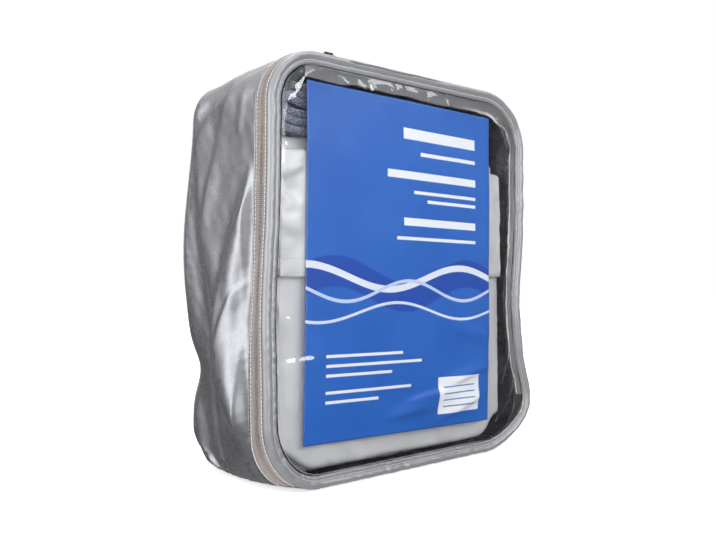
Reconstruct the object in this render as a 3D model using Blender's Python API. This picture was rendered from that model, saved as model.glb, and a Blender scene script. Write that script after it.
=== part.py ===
"""Boat cover folded in its zipped storage bag: a sewn cloth bag with a clear front, standing up.

Metres, +Z up. The window faces -Y, X runs to the right as seen from the front, and the bag stands on z = 0
with the middle of its bottom at the origin.
"""

import math
from bisect import bisect_right
from collections import namedtuple

import bmesh
import bpy
from mathutils import Vector

# Bag, measured over the cloth
BAG_LEFT = -0.1480
BAG_RIGHT = 0.1485
BAG_HEIGHT = 0.3535
CLOTH = 0.0014
SEAM_GAP = 0.0003

# Depth of each strip round the bag, from the front seam to the back seam
FRONT_SEAM_Y = -0.0705
TAPE_WIDTH = 0.0066
TAPE_THICKNESS = 0.0010
TAPE_SINK = 0.0002
COIL_RADIUS = 0.0016
COIL_SINK = 0.0007
PIPING_RADIUS = 0.0025
BACK_PIPING_Y = 0.0695
COIL_Y = FRONT_SEAM_Y + SEAM_GAP + TAPE_WIDTH + SEAM_GAP + COIL_RADIUS
TAPE_FRONT_Y = (FRONT_SEAM_Y + SEAM_GAP, COIL_Y - COIL_RADIUS - SEAM_GAP)
TAPE_REAR_Y = (COIL_Y + COIL_RADIUS + SEAM_GAP, COIL_Y + COIL_RADIUS + SEAM_GAP + TAPE_WIDTH)
SIDE_GUSSET_Y = (TAPE_REAR_Y[1] + SEAM_GAP, BACK_PIPING_Y - PIPING_RADIUS - SEAM_GAP)
BOTTOM_GUSSET_Y = (FRONT_SEAM_Y + SEAM_GAP, SIDE_GUSSET_Y[1])

# Where the side gusset and the zip meet the bottom gusset, measured along X
BOTTOM_SEAM_LEFT = -0.1230
BOTTOM_SEAM_RIGHT = 0.1180

# Each corner's radii along X and Z, in the outlines at the front seam, halfway back and at the back seam
Corner = namedtuple("Corner", "front_x front_z middle_x middle_z back_x back_z")
CORNERS = (
    Corner(0.047, 0.055, 0.012, 0.018, 0.030, 0.034),
    Corner(0.043, 0.045, 0.036, 0.040, 0.032, 0.036),
    Corner(0.055, 0.055, 0.040, 0.044, 0.034, 0.038),
    Corner(0.058, 0.048, 0.024, 0.028, 0.032, 0.034),
)

# Soft swellings and hollows of the bag's sides. along is a height on left and right, and an x on top.
Bulge = namedtuple("Bulge", "side along y out reach_along reach_y")
BULGES = (
    Bulge("left", 0.190, 0.020, 0.0055, 0.100, 0.050),
    Bulge("left", 0.200, 0.072, 0.0100, 0.070, 0.030),
    Bulge("left", 0.101, 0.076, -0.0090, 0.020, 0.026),
    Bulge("left", 0.160, -0.074, 0.0030, 0.050, 0.022),
    Bulge("left", 0.060, -0.005, 0.0045, 0.035, 0.040),
    Bulge("left", 0.300, 0.020, -0.0030, 0.030, 0.035),
    Bulge("right", 0.150, -0.060, -0.0060, 0.045, 0.050),
    Bulge("right", 0.048, -0.060, 0.0112, 0.030, 0.050),
    Bulge("right", 0.215, 0.020, 0.0070, 0.080, 0.050),
    Bulge("right", 0.110, 0.060, 0.0040, 0.050, 0.035),
    Bulge("top", -0.020, 0.010, 0.0025, 0.100, 0.050),
    Bulge("top", 0.085, 0.035, -0.0030, 0.035, 0.030),
    Bulge("top", -0.100, 0.045, -0.0030, 0.030, 0.025),
)

# Creases: soft troughs and ridges from one place to another, bowed sideways in the middle
Crease = namedtuple("Crease", "side along y to_along to_y bow out width")
CREASES = (
    Crease("left", 0.300, 0.055, 0.128, 0.021, 0.012, -0.0062, 0.0095),
    Crease("left", 0.240, -0.048, 0.128, 0.023, -0.004, -0.0066, 0.0085),
    Crease("left", 0.140, 0.018, 0.038, -0.060, 0.006, -0.0062, 0.0115),
    Crease("left", 0.116, 0.045, 0.022, -0.040, -0.004, -0.0052, 0.0085),
    Crease("left", 0.336, -0.022, 0.298, 0.056, 0.006, -0.0036, 0.0060),
    Crease("left", 0.318, -0.020, 0.215, 0.044, 0.006, -0.0036, 0.0110),
    Crease("left", 0.186, -0.052, 0.142, -0.008, 0.004, 0.0046, 0.0065),
    Crease("left", 0.165, -0.044, 0.062, -0.044, 0.000, 0.0036, 0.0085),
    Crease("left", 0.250, 0.010, 0.175, 0.018, 0.002, 0.0034, 0.0130),
    Crease("left", 0.060, 0.040, 0.008, 0.015, 0.003, 0.0042, 0.0080),
    Crease("left", 0.026, -0.018, 0.002, -0.024, 0.000, 0.0022, 0.0045),
    Crease("left", 0.030, -0.036, 0.004, -0.042, 0.000, 0.0022, 0.0045),
    Crease("right", 0.305, 0.052, 0.190, 0.004, -0.010, -0.0050, 0.0100),
    Crease("right", 0.250, -0.046, 0.165, 0.020, 0.006, -0.0050, 0.0095),
    Crease("right", 0.150, 0.010, 0.070, -0.045, -0.006, -0.0045, 0.0110),
    Crease("right", 0.120, 0.052, 0.035, -0.005, 0.006, -0.0045, 0.0100),
    Crease("right", 0.095, 0.030, 0.030, 0.048, 0.000, 0.0030, 0.0090),
    Crease("top", -0.075, -0.0455, 0.055, -0.0455, 0.000, 0.0040, 0.0065),
    Crease("top", -0.110, 0.056, 0.010, -0.010, 0.008, -0.0034, 0.0100),
    Crease("top", 0.120, 0.050, 0.030, -0.004, -0.006, -0.0034, 0.0110),
    Crease("top", 0.000, 0.058, 0.060, 0.010, 0.000, 0.0026, 0.0110),
)
SEAM_FADE = 0.010
FLOOR_FADE = 0.030

# Binding round the window, as a section: in from the outline, and forward of the front seam
Profile = namedtuple("Profile", "inward forward")
BINDING_SECTION = (
    Profile(0.0003, 0.0000),
    Profile(0.0003, 0.0026),
    Profile(0.0014, 0.0048),
    Profile(0.0038, 0.0058),
    Profile(0.0062, 0.0048),
    Profile(0.0074, 0.0030),
    Profile(0.0084, 0.0036),
    Profile(0.0104, 0.0031),
    Profile(0.0107, 0.0012),
    Profile(0.0060, 0.0004),
)
PIPING_INSET = 0.0029

# Front window and back panel, which bulge away from their seams
WINDOW_INSET = 0.0110
WINDOW_SHEET = 0.0010
WINDOW_SEAM_Y = -0.0728
WINDOW_DOME = 0.0065
BACK_PANEL_INSET = PIPING_INSET + PIPING_RADIUS + SEAM_GAP
BACK_PANEL_Y = 0.0702
BACK_DOME = 0.0088
DOME_SQUARENESS = 2.5

# Insert card, an A4 sheet behind the window
CARD_WIDTH = 0.210
CARD_HEIGHT = 0.297
CARD_SHEET = 0.0010
CARD_CENTRE_X = -0.0063
CARD_CENTRE_Z = 0.1816
CARD_TURN = math.radians(1.0)
CARD_Y = -0.0676
CARD_SLOPE_X = -0.018
CARD_SLOPE_Z = 0.009
CARD_BOW = 0.0040

# Cover, folded back and forth. Every layer is a pack of plies, but for the hem that ends the cloth.
COVER_LEFT = -0.1330
COVER_RIGHT = 0.1220
COVER_FRONT_Y = -0.0696
COVER_BACK_Y = 0.0664
COVER_TOP_Z = 0.3380
HEM_THICKNESS = 0.0030
PACK_THICKNESS = 0.0062
HEM_Z = 0.1712
TOP_FOLDS_Z = (0.2765, 0.2880, 0.2880, 0.3330, 0.3380, 0.3365, 0.3340, 0.3280, 0.3160)
BOTTOM_FOLDS_Z = (0.0200, 0.0060, 0.0018, 0.0030, 0.0018, 0.0026, 0.0018, 0.0040, 0.0018)
LAYER_MIDDLE_Z = 0.150
COVER_SHARES = (0.0, 0.07, 0.18, 0.50, 0.82, 0.93, 1.0)

# How the cover settles: its corners are rounded off, its tops wave, and its back fills the back panel's dome
CORNER_LIFT = 0.0190
CORNER_REACH = 0.036
CORNER_LIFT_HEIGHT = 0.120
WAVE_HEIGHT = 0.0010
WAVE_PER_X = 31.0
WAVE_PER_Y = 160.0
WAVE_Z = (0.20, 0.28)
BACK_FILL = 0.9

# Rope, wound into one hank that lies on the front of the cover
HANK_LEFT = -0.1330
HANK_RIGHT = 0.1020
HANK_Y = -0.0433
HANK_Z = 0.3100
HANK_RADIUS_Y = 0.0163
HANK_RADIUS_Z = 0.0225
HANK_LOBES = 5
HANK_LOBE_DEPTH = 0.10
HANK_TURNS = 0.55
HANK_END_POWER = 6
HANK_END_SHARE = 0.20

# Zip slider on the top, near the left corner, its bridge, and the pull that lies back on the gusset
SLIDER_X = -0.0850
SLIDER_LENGTH = 0.0100
SLIDER_WIDTH = 0.0080
SLIDER_HEIGHT = 0.0018
SLIDER_BEVEL = 0.0006
BRIDGE_HEIGHT = 0.0028
BRIDGE_SINK = 0.0008
BRIDGE_WIDTH = 0.0030
BRIDGE_BAR = 0.0010
PULLER_LENGTH = 0.0160
PULLER_WIDTH = 0.0048
PULLER_THICKNESS = 0.0010
PULLER_FLAT = 0.34

# Finishes
Finish = namedtuple("Finish", "colour roughness metallic transmission", defaults=(0.0, 0.0))
SILVER_CLOTH = Finish((0.42, 0.43, 0.45), 0.42, 0.55)
BINDING_CLOTH = Finish((0.42, 0.43, 0.45), 0.45, 0.45)
CLEAR_FILM = Finish((0.92, 0.94, 0.96), 0.06, 0.0, 1.0)
ZIP_CLOTH = Finish((0.44, 0.42, 0.41), 0.80)
COIL_NYLON = Finish((0.30, 0.25, 0.22), 0.45)
BLACK_PAINT = Finish((0.02, 0.02, 0.02), 0.35)
BLUE_PRINT = Finish((0.03, 0.13, 0.55), 0.35)
COVER_CLOTH = Finish((0.62, 0.63, 0.65), 0.45, 0.35)
ROPE_BRAID = Finish((0.12, 0.13, 0.19), 0.85)

# Cells and steps of the meshes
LINE_STEPS = 16
ARC_STEPS = 12
SEARCH_STEPS = 20
SEARCH_STEP = 0.0005
NORMAL_STEP = 0.002
CREASE_STEPS = 8
SIDE_CELLS = 38
TOP_CELLS = 16
RIGHT_CELLS = 20
GUSSET_ROWS = 14
BOTTOM_CELLS = 24
BOTTOM_ROWS = 6
ZIP_CELLS = 54
CARD_CELLS = (10, 14)
PULLER_CELLS = (1, 3)
PANEL_RINGS = (0.28, 0.62, 0.88, 1.0)
FOLD_STEPS = 4
WELT_SIDES = 6
HANK_STEPS = 26
HANK_SIDES = 20
BEVEL_SEGMENTS = 2
SHARP_ANGLE = math.radians(50.0)


def smooth(value):
    """0 below 0, 1 above 1, and a smooth rise between them."""
    value = min(max(value, 0.0), 1.0)
    return value * value * (3.0 - 2.0 * value)


def blend(start, end, share):
    return start + (end - start) * share


# The bag's outline. All three outlines have the same steps, so a station on one has its match on the others.


def outline(radii):
    """Points (x, z) round the bag, from the middle of the bottom by the left side, for two radii a corner."""
    (blx, blz), (tlx, tlz), (trx, trz), (brx, brz) = radii
    top = BAG_HEIGHT
    arcs = (
        ((BAG_LEFT + blx, blz), (blx, blz), 270.0, 180.0),
        ((BAG_LEFT + tlx, top - tlz), (tlx, tlz), 180.0, 90.0),
        ((BAG_RIGHT - trx, top - trz), (trx, trz), 90.0, 0.0),
        ((BAG_RIGHT - brx, brz), (brx, brz), 0.0, -90.0),
    )
    points = [Vector((0.0, 0.0))]
    for (x, z), (radius_x, radius_z), start, end in arcs:
        turns = [math.radians(blend(start, end, step / ARC_STEPS)) for step in range(ARC_STEPS + 1)]
        arc = [Vector((x + radius_x * math.cos(turn), z + radius_z * math.sin(turn))) for turn in turns]
        line_start = points[-1]
        points += [line_start.lerp(arc[0], step / LINE_STEPS) for step in range(1, LINE_STEPS)]
        points += arc
    line_start = points[-1]
    points += [line_start.lerp(points[0], step / LINE_STEPS) for step in range(1, LINE_STEPS + 1)]
    return points


FRONT_OUTLINE = outline([(corner.front_x, corner.front_z) for corner in CORNERS])
MIDDLE_OUTLINE = outline([(corner.middle_x, corner.middle_z) for corner in CORNERS])
BACK_OUTLINE = outline([(corner.back_x, corner.back_z) for corner in CORNERS])
STATIONS = [0.0]
for first, second in zip(FRONT_OUTLINE, FRONT_OUTLINE[1:]):
    STATIONS.append(STATIONS[-1] + (second - first).length)
ROUND_LENGTH = STATIONS[-1]
RING_STATIONS = STATIONS[:-1:2]


def on_outline(points, station):
    station %= ROUND_LENGTH
    index = min(bisect_right(STATIONS, station), len(points) - 1)
    share = (station - STATIONS[index - 1]) / (STATIONS[index] - STATIONS[index - 1])
    return points[index - 1].lerp(points[index], share)


def outward(points, station):
    """Unit normal of the outline at a station, pointing out of the bag."""
    along = on_outline(points, station + NORMAL_STEP) - on_outline(points, station - NORMAL_STEP)
    return Vector((-along.y, along.x)).normalized()


def station_of(side, along):
    """Station on the front outline nearest to a height on a side, or to an x on the top or the bottom."""
    target = {
        "left": Vector((BAG_LEFT, along)),
        "right": Vector((BAG_RIGHT, along)),
        "top": Vector((along, BAG_HEIGHT)),
        "bottom": Vector((along, 0.0)),
    }[side]
    best = min(range(len(FRONT_OUTLINE)), key=lambda index: (FRONT_OUTLINE[index] - target).length)
    near = [STATIONS[best] + step * SEARCH_STEP for step in range(-SEARCH_STEPS, SEARCH_STEPS + 1)]
    return min(near, key=lambda station: (on_outline(FRONT_OUTLINE, station) - target).length)


SEAM_LEFT = station_of("bottom", BOTTOM_SEAM_LEFT)
SEAM_RIGHT = station_of("bottom", BOTTOM_SEAM_RIGHT)
FLAT_LEFT = station_of("bottom", BAG_LEFT + CORNERS[0].front_x)
FLAT_RIGHT = station_of("bottom", BAG_RIGHT - CORNERS[3].front_x)
BULGE_STATIONS = [station_of(bulge.side, bulge.along) for bulge in BULGES]


def crease_line(crease):
    """The crease's middle line as places (station, y)."""
    start = Vector((station_of(crease.side, crease.along), crease.y))
    end = Vector((station_of(crease.side, crease.to_along), crease.to_y))
    across = Vector((start.y - end.y, end.x - start.x)).normalized()
    line = []
    for step in range(CREASE_STEPS + 1):
        share = step / CREASE_STEPS
        line.append(start.lerp(end, share) + across * crease.bow * 4.0 * share * (1.0 - share))
    return line


CREASE_LINES = [crease_line(crease) for crease in CREASES]


def crease_depth(crease, line, place):
    """How far the crease moves the cloth at a place (station, y). It runs out to nothing at both its ends."""
    best = 1.0
    best_share = 0.0
    for step, (start, end) in enumerate(zip(line, line[1:])):
        run = end - start
        share = min(max((place - start).dot(run) / run.length_squared, 0.0), 1.0)
        distance = (place - start - run * share).length
        if distance < best:
            best = distance
            best_share = (step + share) / CREASE_STEPS
    ends = math.sqrt(4.0 * best_share * (1.0 - best_share))
    return crease.out * ends * math.exp(-((best / crease.width) ** 2))


def swell(station, y, creased=True):
    """How far the bag's side stands out from its outline at a station and a depth."""
    station %= ROUND_LENGTH
    above_floor = smooth((station - FLAT_LEFT) / FLOOR_FADE) * smooth((FLAT_RIGHT - station) / FLOOR_FADE)
    out = 0.0
    for bulge, middle in zip(BULGES, BULGE_STATIONS):
        out += bulge.out * math.exp(
            -(((station - middle) / bulge.reach_along) ** 2) - ((y - bulge.y) / bulge.reach_y) ** 2
        )
    if creased:
        front, back = SIDE_GUSSET_Y
        in_panel = smooth((y - front) / SEAM_FADE) * smooth((back - y) / SEAM_FADE)
        place = Vector((station, y))
        out += in_panel * sum(
            crease_depth(crease, line, place) for crease, line in zip(CREASES, CREASE_LINES)
        )
    return out * above_floor


def band_point(station, y, inward=0.0, creased=True):
    """A point of the bag's side at a station and a depth, some way in from its outer surface."""
    share = (y - FRONT_SEAM_Y) / (BACK_PIPING_Y - FRONT_SEAM_Y)
    weights = (
        (FRONT_OUTLINE, (1.0 - share) * (1.0 - 2.0 * share)),
        (MIDDLE_OUTLINE, 4.0 * share * (1.0 - share)),
        (BACK_OUTLINE, share * (2.0 * share - 1.0)),
    )
    middle = sum((on_outline(points, station) * weight for points, weight in weights), Vector((0.0, 0.0)))
    normal = sum((outward(points, station) * weight for points, weight in weights), Vector((0.0, 0.0)))
    place = middle + normal.normalized() * (swell(station, y, creased) - inward)
    return Vector((place.x, y, place.y))


# Mesh builders


def material(name, finish):
    made = bpy.data.materials.new(name)
    made.use_nodes = True
    shader = made.node_tree.nodes["Principled BSDF"]
    shader.inputs["Base Color"].default_value = (*finish.colour, 1.0)
    shader.inputs["Roughness"].default_value = finish.roughness
    shader.inputs["Metallic"].default_value = finish.metallic
    shader.inputs["Transmission Weight"].default_value = finish.transmission
    return made


def add_object(name, bm, surface):
    """Closes the mesh into an object with smooth faces and its own material."""
    bmesh.ops.recalc_face_normals(bm, faces=bm.faces[:])
    mesh = bpy.data.meshes.new(name)
    bm.to_mesh(mesh)
    bm.free()
    mesh.shade_smooth()
    mesh.set_sharp_from_angle(angle=SHARP_ANGLE)
    mesh.materials.append(surface)
    made = bpy.data.objects.new(name, mesh)
    bpy.context.collection.objects.link(made)
    return made


def bent_slab(columns, rows, place):
    """A slab one cell thick, whose vertex at shares (u, v) and depth share w goes to place(u, v, w)."""
    bm = bmesh.new()
    bmesh.ops.create_grid(bm, x_segments=columns, y_segments=rows, size=0.5)
    grown = bmesh.ops.extrude_face_region(bm, geom=bm.faces[:], use_keep_orig=True)
    raised = [item for item in grown["geom"] if isinstance(item, bmesh.types.BMVert)]
    bmesh.ops.translate(bm, vec=(0.0, 0.0, 1.0), verts=raised)
    bmesh.ops.translate(bm, vec=(0.5, 0.5, 0.0), verts=bm.verts[:])
    for vertex in bm.verts:
        vertex.co = place(*vertex.co)
    return bm


def loft(rings, closed):
    """Joins rings of points, each with the next. An open loft gets a face over each of its ends."""
    bm = bmesh.new()
    loops = [[bm.verts.new(point) for point in ring] for ring in rings]
    pairs = list(zip(loops, loops[1:]))
    if closed:
        pairs.append((loops[-1], loops[0]))
    for first, second in pairs:
        for index in range(len(first)):
            bm.faces.new((first[index - 1], first[index], second[index], second[index - 1]))
    if not closed:
        bm.faces.new(loops[0])
        bm.faces.new(loops[-1])
    return bm


def round_section(count):
    """The angles of a round section's points."""
    return [2.0 * math.pi * index / count for index in range(count)]


# Bag


def gusset_station(share):
    """Station along the side gusset. The left side, whose folds show, gets more of the cells."""
    cells = SIDE_CELLS + TOP_CELLS + RIGHT_CELLS
    stops = (0.0, SIDE_CELLS / cells, (SIDE_CELLS + TOP_CELLS) / cells, 1.0)
    left_corner = station_of("top", BAG_LEFT + CORNERS[1].front_x)
    right_corner = station_of("top", BAG_RIGHT - CORNERS[2].front_x)
    places = (SEAM_LEFT, left_corner, right_corner, SEAM_RIGHT)
    index = min(bisect_right(stops, share), len(stops) - 1)
    part = (share - stops[index - 1]) / (stops[index] - stops[index - 1])
    return blend(places[index - 1], places[index], part)


def side_gusset(surface):
    """Long panel round the left side, the top and the right side, behind the zip, with the bag's folds."""
    inset = SEAM_GAP / 2.0

    def place(u, v, w):
        station = min(max(gusset_station(u), SEAM_LEFT + inset), SEAM_RIGHT - inset)
        return band_point(station, blend(*SIDE_GUSSET_Y, v), CLOTH * w)

    cells = SIDE_CELLS + TOP_CELLS + RIGHT_CELLS
    return add_object("side_gusset", bent_slab(cells, GUSSET_ROWS, place), surface)


def bottom_gusset(surface):
    """Bottom panel. It is flat where it stands and turns up at both ends to its seams."""

    def place(u, v, w):
        start = SEAM_LEFT - SEAM_GAP / 2.0
        end = SEAM_RIGHT - ROUND_LENGTH + SEAM_GAP / 2.0
        return band_point(blend(start, end, u), blend(*BOTTOM_GUSSET_Y, v), CLOTH * w)

    return add_object("bottom_gusset", bent_slab(BOTTOM_CELLS, BOTTOM_ROWS, place), surface)


def zip_tape(name, span, surface):
    """One tape of the zip, from the left end of the zip over the top to its right end."""

    def place(u, v, w):
        inset = SEAM_GAP / 2.0
        station = blend(SEAM_LEFT + inset, SEAM_RIGHT - inset, u)
        return band_point(station, blend(*span, v), TAPE_SINK + TAPE_THICKNESS * w)

    return add_object(name, bent_slab(ZIP_CELLS, 1, place), surface)


def zip_coil(surface):
    """The closed coil between the two tapes."""
    rings = []
    for step in range(ZIP_CELLS + 1):
        station = blend(SEAM_LEFT + SEAM_GAP, SEAM_RIGHT - SEAM_GAP, step / ZIP_CELLS)
        ring = []
        for turn in round_section(WELT_SIDES):
            y = COIL_Y + COIL_RADIUS * math.cos(turn)
            ring.append(band_point(station, y, COIL_SINK + COIL_RADIUS * math.sin(turn)))
        rings.append(ring)
    return add_object("zip_coil", loft(rings, closed=False), surface)


def front_binding(surface):
    """Rolled binding, its stitched groove and the flange that holds the window, once round the front."""
    rings = []
    for station in RING_STATIONS:
        ring = []
        for point in BINDING_SECTION:
            place = band_point(station, FRONT_SEAM_Y, point.inward, creased=False)
            ring.append(place - Vector((0.0, point.forward, 0.0)))
        rings.append(ring)
    return add_object("front_binding", loft(rings, closed=True), surface)


def back_piping(surface):
    """Corded welt once round the back seam."""
    rings = []
    for station in RING_STATIONS:
        ring = []
        for turn in round_section(WELT_SIDES):
            inward = PIPING_INSET + PIPING_RADIUS * math.cos(turn)
            place = band_point(station, BACK_PIPING_Y, inward, creased=False)
            ring.append(place + Vector((0.0, PIPING_RADIUS * math.sin(turn), 0.0)))
        rings.append(ring)
    return add_object("back_piping", loft(rings, closed=True), surface)


# Front and back panels


def panel(seam_y, inset, sheet, depth_at):
    """A panel as rings that shrink to its middle, over its outer face and back over its inner one."""
    middle = Vector(((BAG_LEFT + BAG_RIGHT) / 2.0, BAG_HEIGHT / 2.0))
    edges = [band_point(station, seam_y, inset, creased=False) for station in RING_STATIONS]
    places = [[middle.lerp(Vector((edge.x, edge.z)), reach) for edge in edges] for reach in PANEL_RINGS]
    outer = [[Vector((spot.x, depth_at(spot), spot.y)) for spot in ring] for ring in places]
    inner = [[point + Vector((0.0, sheet, 0.0)) for point in ring] for ring in outer]
    return loft(outer + inner[::-1], closed=False)


def dome(x, z):
    """1 in the middle of a panel and 0 at its seams."""
    across = abs(x - (BAG_LEFT + BAG_RIGHT) / 2.0) / (BAG_RIGHT - WINDOW_INSET)
    up = abs(z - BAG_HEIGHT / 2.0) / (BAG_HEIGHT / 2.0 - WINDOW_INSET)
    return max(1.0 - across**DOME_SQUARENESS, 0.0) * max(1.0 - up**DOME_SQUARENESS, 0.0)


def window(surface):
    """Clear front window, domed by what fills the bag."""

    def depth_at(spot):
        return WINDOW_SEAM_Y - WINDOW_DOME * dome(*spot)

    return add_object("window", panel(FRONT_SEAM_Y, WINDOW_INSET, WINDOW_SHEET, depth_at), surface)


def back_panel(surface):
    """Back panel, bulging a little."""

    def depth_at(spot):
        return BACK_PANEL_Y + BACK_DOME * dome(*spot)

    return add_object("back_panel", panel(BACK_PIPING_Y, BACK_PANEL_INSET, -CLOTH, depth_at), surface)


def card_front(x, z):
    """Depth of the card's front face, which leans back to the top left and bows forward in the middle."""
    flat = CARD_Y + CARD_SLOPE_X * (x - CARD_CENTRE_X) + CARD_SLOPE_Z * (z - CARD_CENTRE_Z)
    return flat - CARD_BOW * dome(x, z)


def insert_card(surface):
    """Card between the cover and the window."""

    def place(u, v, w):
        side = (u - 0.5) * CARD_WIDTH
        up = (v - 0.5) * CARD_HEIGHT
        x = CARD_CENTRE_X + side * math.cos(CARD_TURN) + up * math.sin(CARD_TURN)
        z = CARD_CENTRE_Z - side * math.sin(CARD_TURN) + up * math.cos(CARD_TURN)
        return Vector((x, card_front(x, z) + CARD_SHEET * w, z))

    return add_object("insert_card", bent_slab(*CARD_CELLS, place), surface)


# Contents


def layer_middles():
    """The depth of each layer's middle and half its thickness, from the front to the back."""
    count = 2 * len(TOP_FOLDS_Z)
    thick = [HEM_THICKNESS] + [PACK_THICKNESS] * (count - 1)
    gap = (COVER_BACK_Y - COVER_FRONT_Y - sum(thick)) / (count - 1)
    middles = []
    y = COVER_FRONT_Y
    for thickness in thick:
        middles.append((y + thickness / 2.0, thickness / 2.0))
        y += thickness + gap
    return middles


def cover_line():
    """The folded cloth's middle line in (y, z) with its half thickness and its direction, from hem to end."""
    layers = layer_middles()
    line = [(layers[0][0], HEM_Z, layers[0][1], 90.0)]
    for index, (here, after) in enumerate(zip(layers, layers[1:])):
        up = index % 2 == 0
        sign = 1.0 if up else -1.0
        fold_z = TOP_FOLDS_Z[index // 2] if up else BOTTOM_FOLDS_Z[index // 2]
        radius = (after[0] - here[0]) / 2.0
        outer = radius + (here[1] + after[1]) / 2.0
        middle_y = (here[0] + after[0]) / 2.0
        if index:
            line.append((here[0], LAYER_MIDDLE_Z, here[1], 90.0 * sign))
        for step in range(FOLD_STEPS + 1):
            share = step / FOLD_STEPS
            turn = math.pi * share
            y = middle_y - radius * math.cos(turn)
            z = fold_z - sign * outer + sign * radius * math.sin(turn)
            line.append((y, z, blend(here[1], after[1], share), sign * (90.0 - 180.0 * share)))
    last = layers[-1]
    line.append((last[0], BOTTOM_FOLDS_Z[-1], last[1], -90.0))
    return line


def settle(x, y, z):
    """Moves a point of the evenly folded cover to where it lies in the bag."""
    left = smooth((COVER_LEFT + CORNER_REACH - x) / CORNER_REACH)
    right = smooth((x - COVER_RIGHT + CORNER_REACH) / CORNER_REACH)
    lift = CORNER_LIFT * max(left, right)
    share = z / COVER_TOP_Z
    low = BOTTOM_FOLDS_Z[-1]
    up = lift * (1.0 - share) * smooth(1.0 - (z - low) / CORNER_LIFT_HEIGHT)
    down = lift * share * smooth((z - TOP_FOLDS_Z[0]) / (COVER_TOP_Z - TOP_FOLDS_Z[0]))
    waving = smooth((z - WAVE_Z[0]) / (WAVE_Z[1] - WAVE_Z[0]))
    wave = WAVE_HEIGHT * math.sin(WAVE_PER_X * x + WAVE_PER_Y * y) * waving
    depth = (y - COVER_FRONT_Y) / (COVER_BACK_Y - COVER_FRONT_Y)
    forward = COVER_FRONT_Y - card_front(x, z) - CARD_SHEET - SEAM_GAP
    backward = BACK_DOME * BACK_FILL * dome(x, z)
    return Vector((x, y - forward * (1.0 - depth) + backward * depth, z + up - down + wave))


def folded_cover(surface):
    """The boat cover: one cloth folded back and forth, its folds along X."""
    line = cover_line()
    near = []
    far = []
    for y, z, half, turn in line:
        side = Vector((-math.sin(math.radians(turn)), math.cos(math.radians(turn)))) * half
        near.append((y + side.x, z + side.y))
        far.append((y - side.x, z - side.y))
    section = near + far[::-1]
    rings = []
    for share in COVER_SHARES:
        x = blend(COVER_LEFT, COVER_RIGHT, share)
        rings.append([settle(x, y, z) for y, z in section])
    return add_object("folded_cover", loft(rings, closed=False), surface)


def rope_hank(surface):
    """The wound rope: turns side by side, a little twisted, with round ends."""
    rings = []
    for step in range(HANK_STEPS + 1):
        share = step / HANK_STEPS
        x = blend(HANK_LEFT, HANK_RIGHT, share)
        end = max(math.sqrt(1.0 - abs(2.0 * share - 1.0) ** HANK_END_POWER), HANK_END_SHARE)
        twist = 2.0 * math.pi * HANK_TURNS * share
        ring = []
        for turn in round_section(HANK_SIDES):
            lobe = 1.0 - HANK_LOBE_DEPTH * (0.5 + 0.5 * math.cos(HANK_LOBES * (turn + twist)))
            y = HANK_Y + HANK_RADIUS_Y * end * lobe * math.cos(turn)
            z = HANK_Z + HANK_RADIUS_Z * end * lobe * math.sin(turn)
            ring.append(Vector((x, y, z)))
        rings.append(ring)
    return add_object("rope_hank", loft(rings, closed=False), surface)


# Zip slider


def box(size, centre):
    bm = bmesh.new()
    bmesh.ops.create_cube(bm, size=1.0)
    bmesh.ops.scale(bm, vec=size, verts=bm.verts[:])
    bmesh.ops.translate(bm, vec=centre, verts=bm.verts[:])
    return bm


def slider_seat():
    """Height of the slider's underside, just clear of the coil."""
    return band_point(station_of("top", SLIDER_X), COIL_Y, COIL_SINK - COIL_RADIUS).z + SEAM_GAP


def zip_slider(surface):
    """Slider body on the coil, with the bridge that its pull hangs from."""
    seat = slider_seat()
    top = seat + SLIDER_HEIGHT
    body = box((SLIDER_LENGTH, SLIDER_WIDTH, SLIDER_HEIGHT), (SLIDER_X, COIL_Y, seat + SLIDER_HEIGHT / 2.0))
    bmesh.ops.bevel(
        body, geom=body.edges[:], offset=SLIDER_BEVEL, segments=BEVEL_SEGMENTS, affect="EDGES", profile=0.5
    )
    made = add_object("zip_slider", body, surface)
    reach = SLIDER_LENGTH / 2.0 - BRIDGE_BAR
    low = top - BRIDGE_SINK
    high = top + BRIDGE_HEIGHT
    inside = reach - BRIDGE_BAR
    under = high - BRIDGE_BAR
    outer = ((-reach, low), (-reach, under), (-inside, high), (inside, high), (reach, under), (reach, low))
    inner = ((inside, low), (inside, under), (-inside, under), (-inside, low))
    rings = []
    for y in (COIL_Y - BRIDGE_WIDTH / 2.0, COIL_Y + BRIDGE_WIDTH / 2.0):
        rings.append([Vector((SLIDER_X + x, y, z)) for x, z in outer + inner])
    bridge = add_object("bridge_form", loft(rings, closed=False), surface)
    bridge.hide_render = True
    bridge.display_type = "WIRE"
    union = made.modifiers.new("bridge", "BOOLEAN")
    union.operation = "UNION"
    union.solver = "EXACT"
    union.object = bridge
    return made


def zip_puller(surface):
    """Flat pull. It passes under the slider's bridge and lies back on the gusset."""
    station = station_of("top", SLIDER_X)
    start_y = COIL_Y - BRIDGE_WIDTH
    end_y = start_y + PULLER_LENGTH
    start_z = slider_seat() + SLIDER_HEIGHT + SEAM_GAP
    end_z = band_point(station, end_y).z + SEAM_GAP

    def place(u, v, w):
        x = SLIDER_X + (u - 0.5) * PULLER_WIDTH
        level = start_z if v < PULLER_FLAT else blend(start_z, end_z, (v - PULLER_FLAT) / (1.0 - PULLER_FLAT))
        return Vector((x, blend(start_y, end_y, v), level + PULLER_THICKNESS * w))

    return add_object("zip_puller", bent_slab(*PULLER_CELLS, place), surface)


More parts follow.
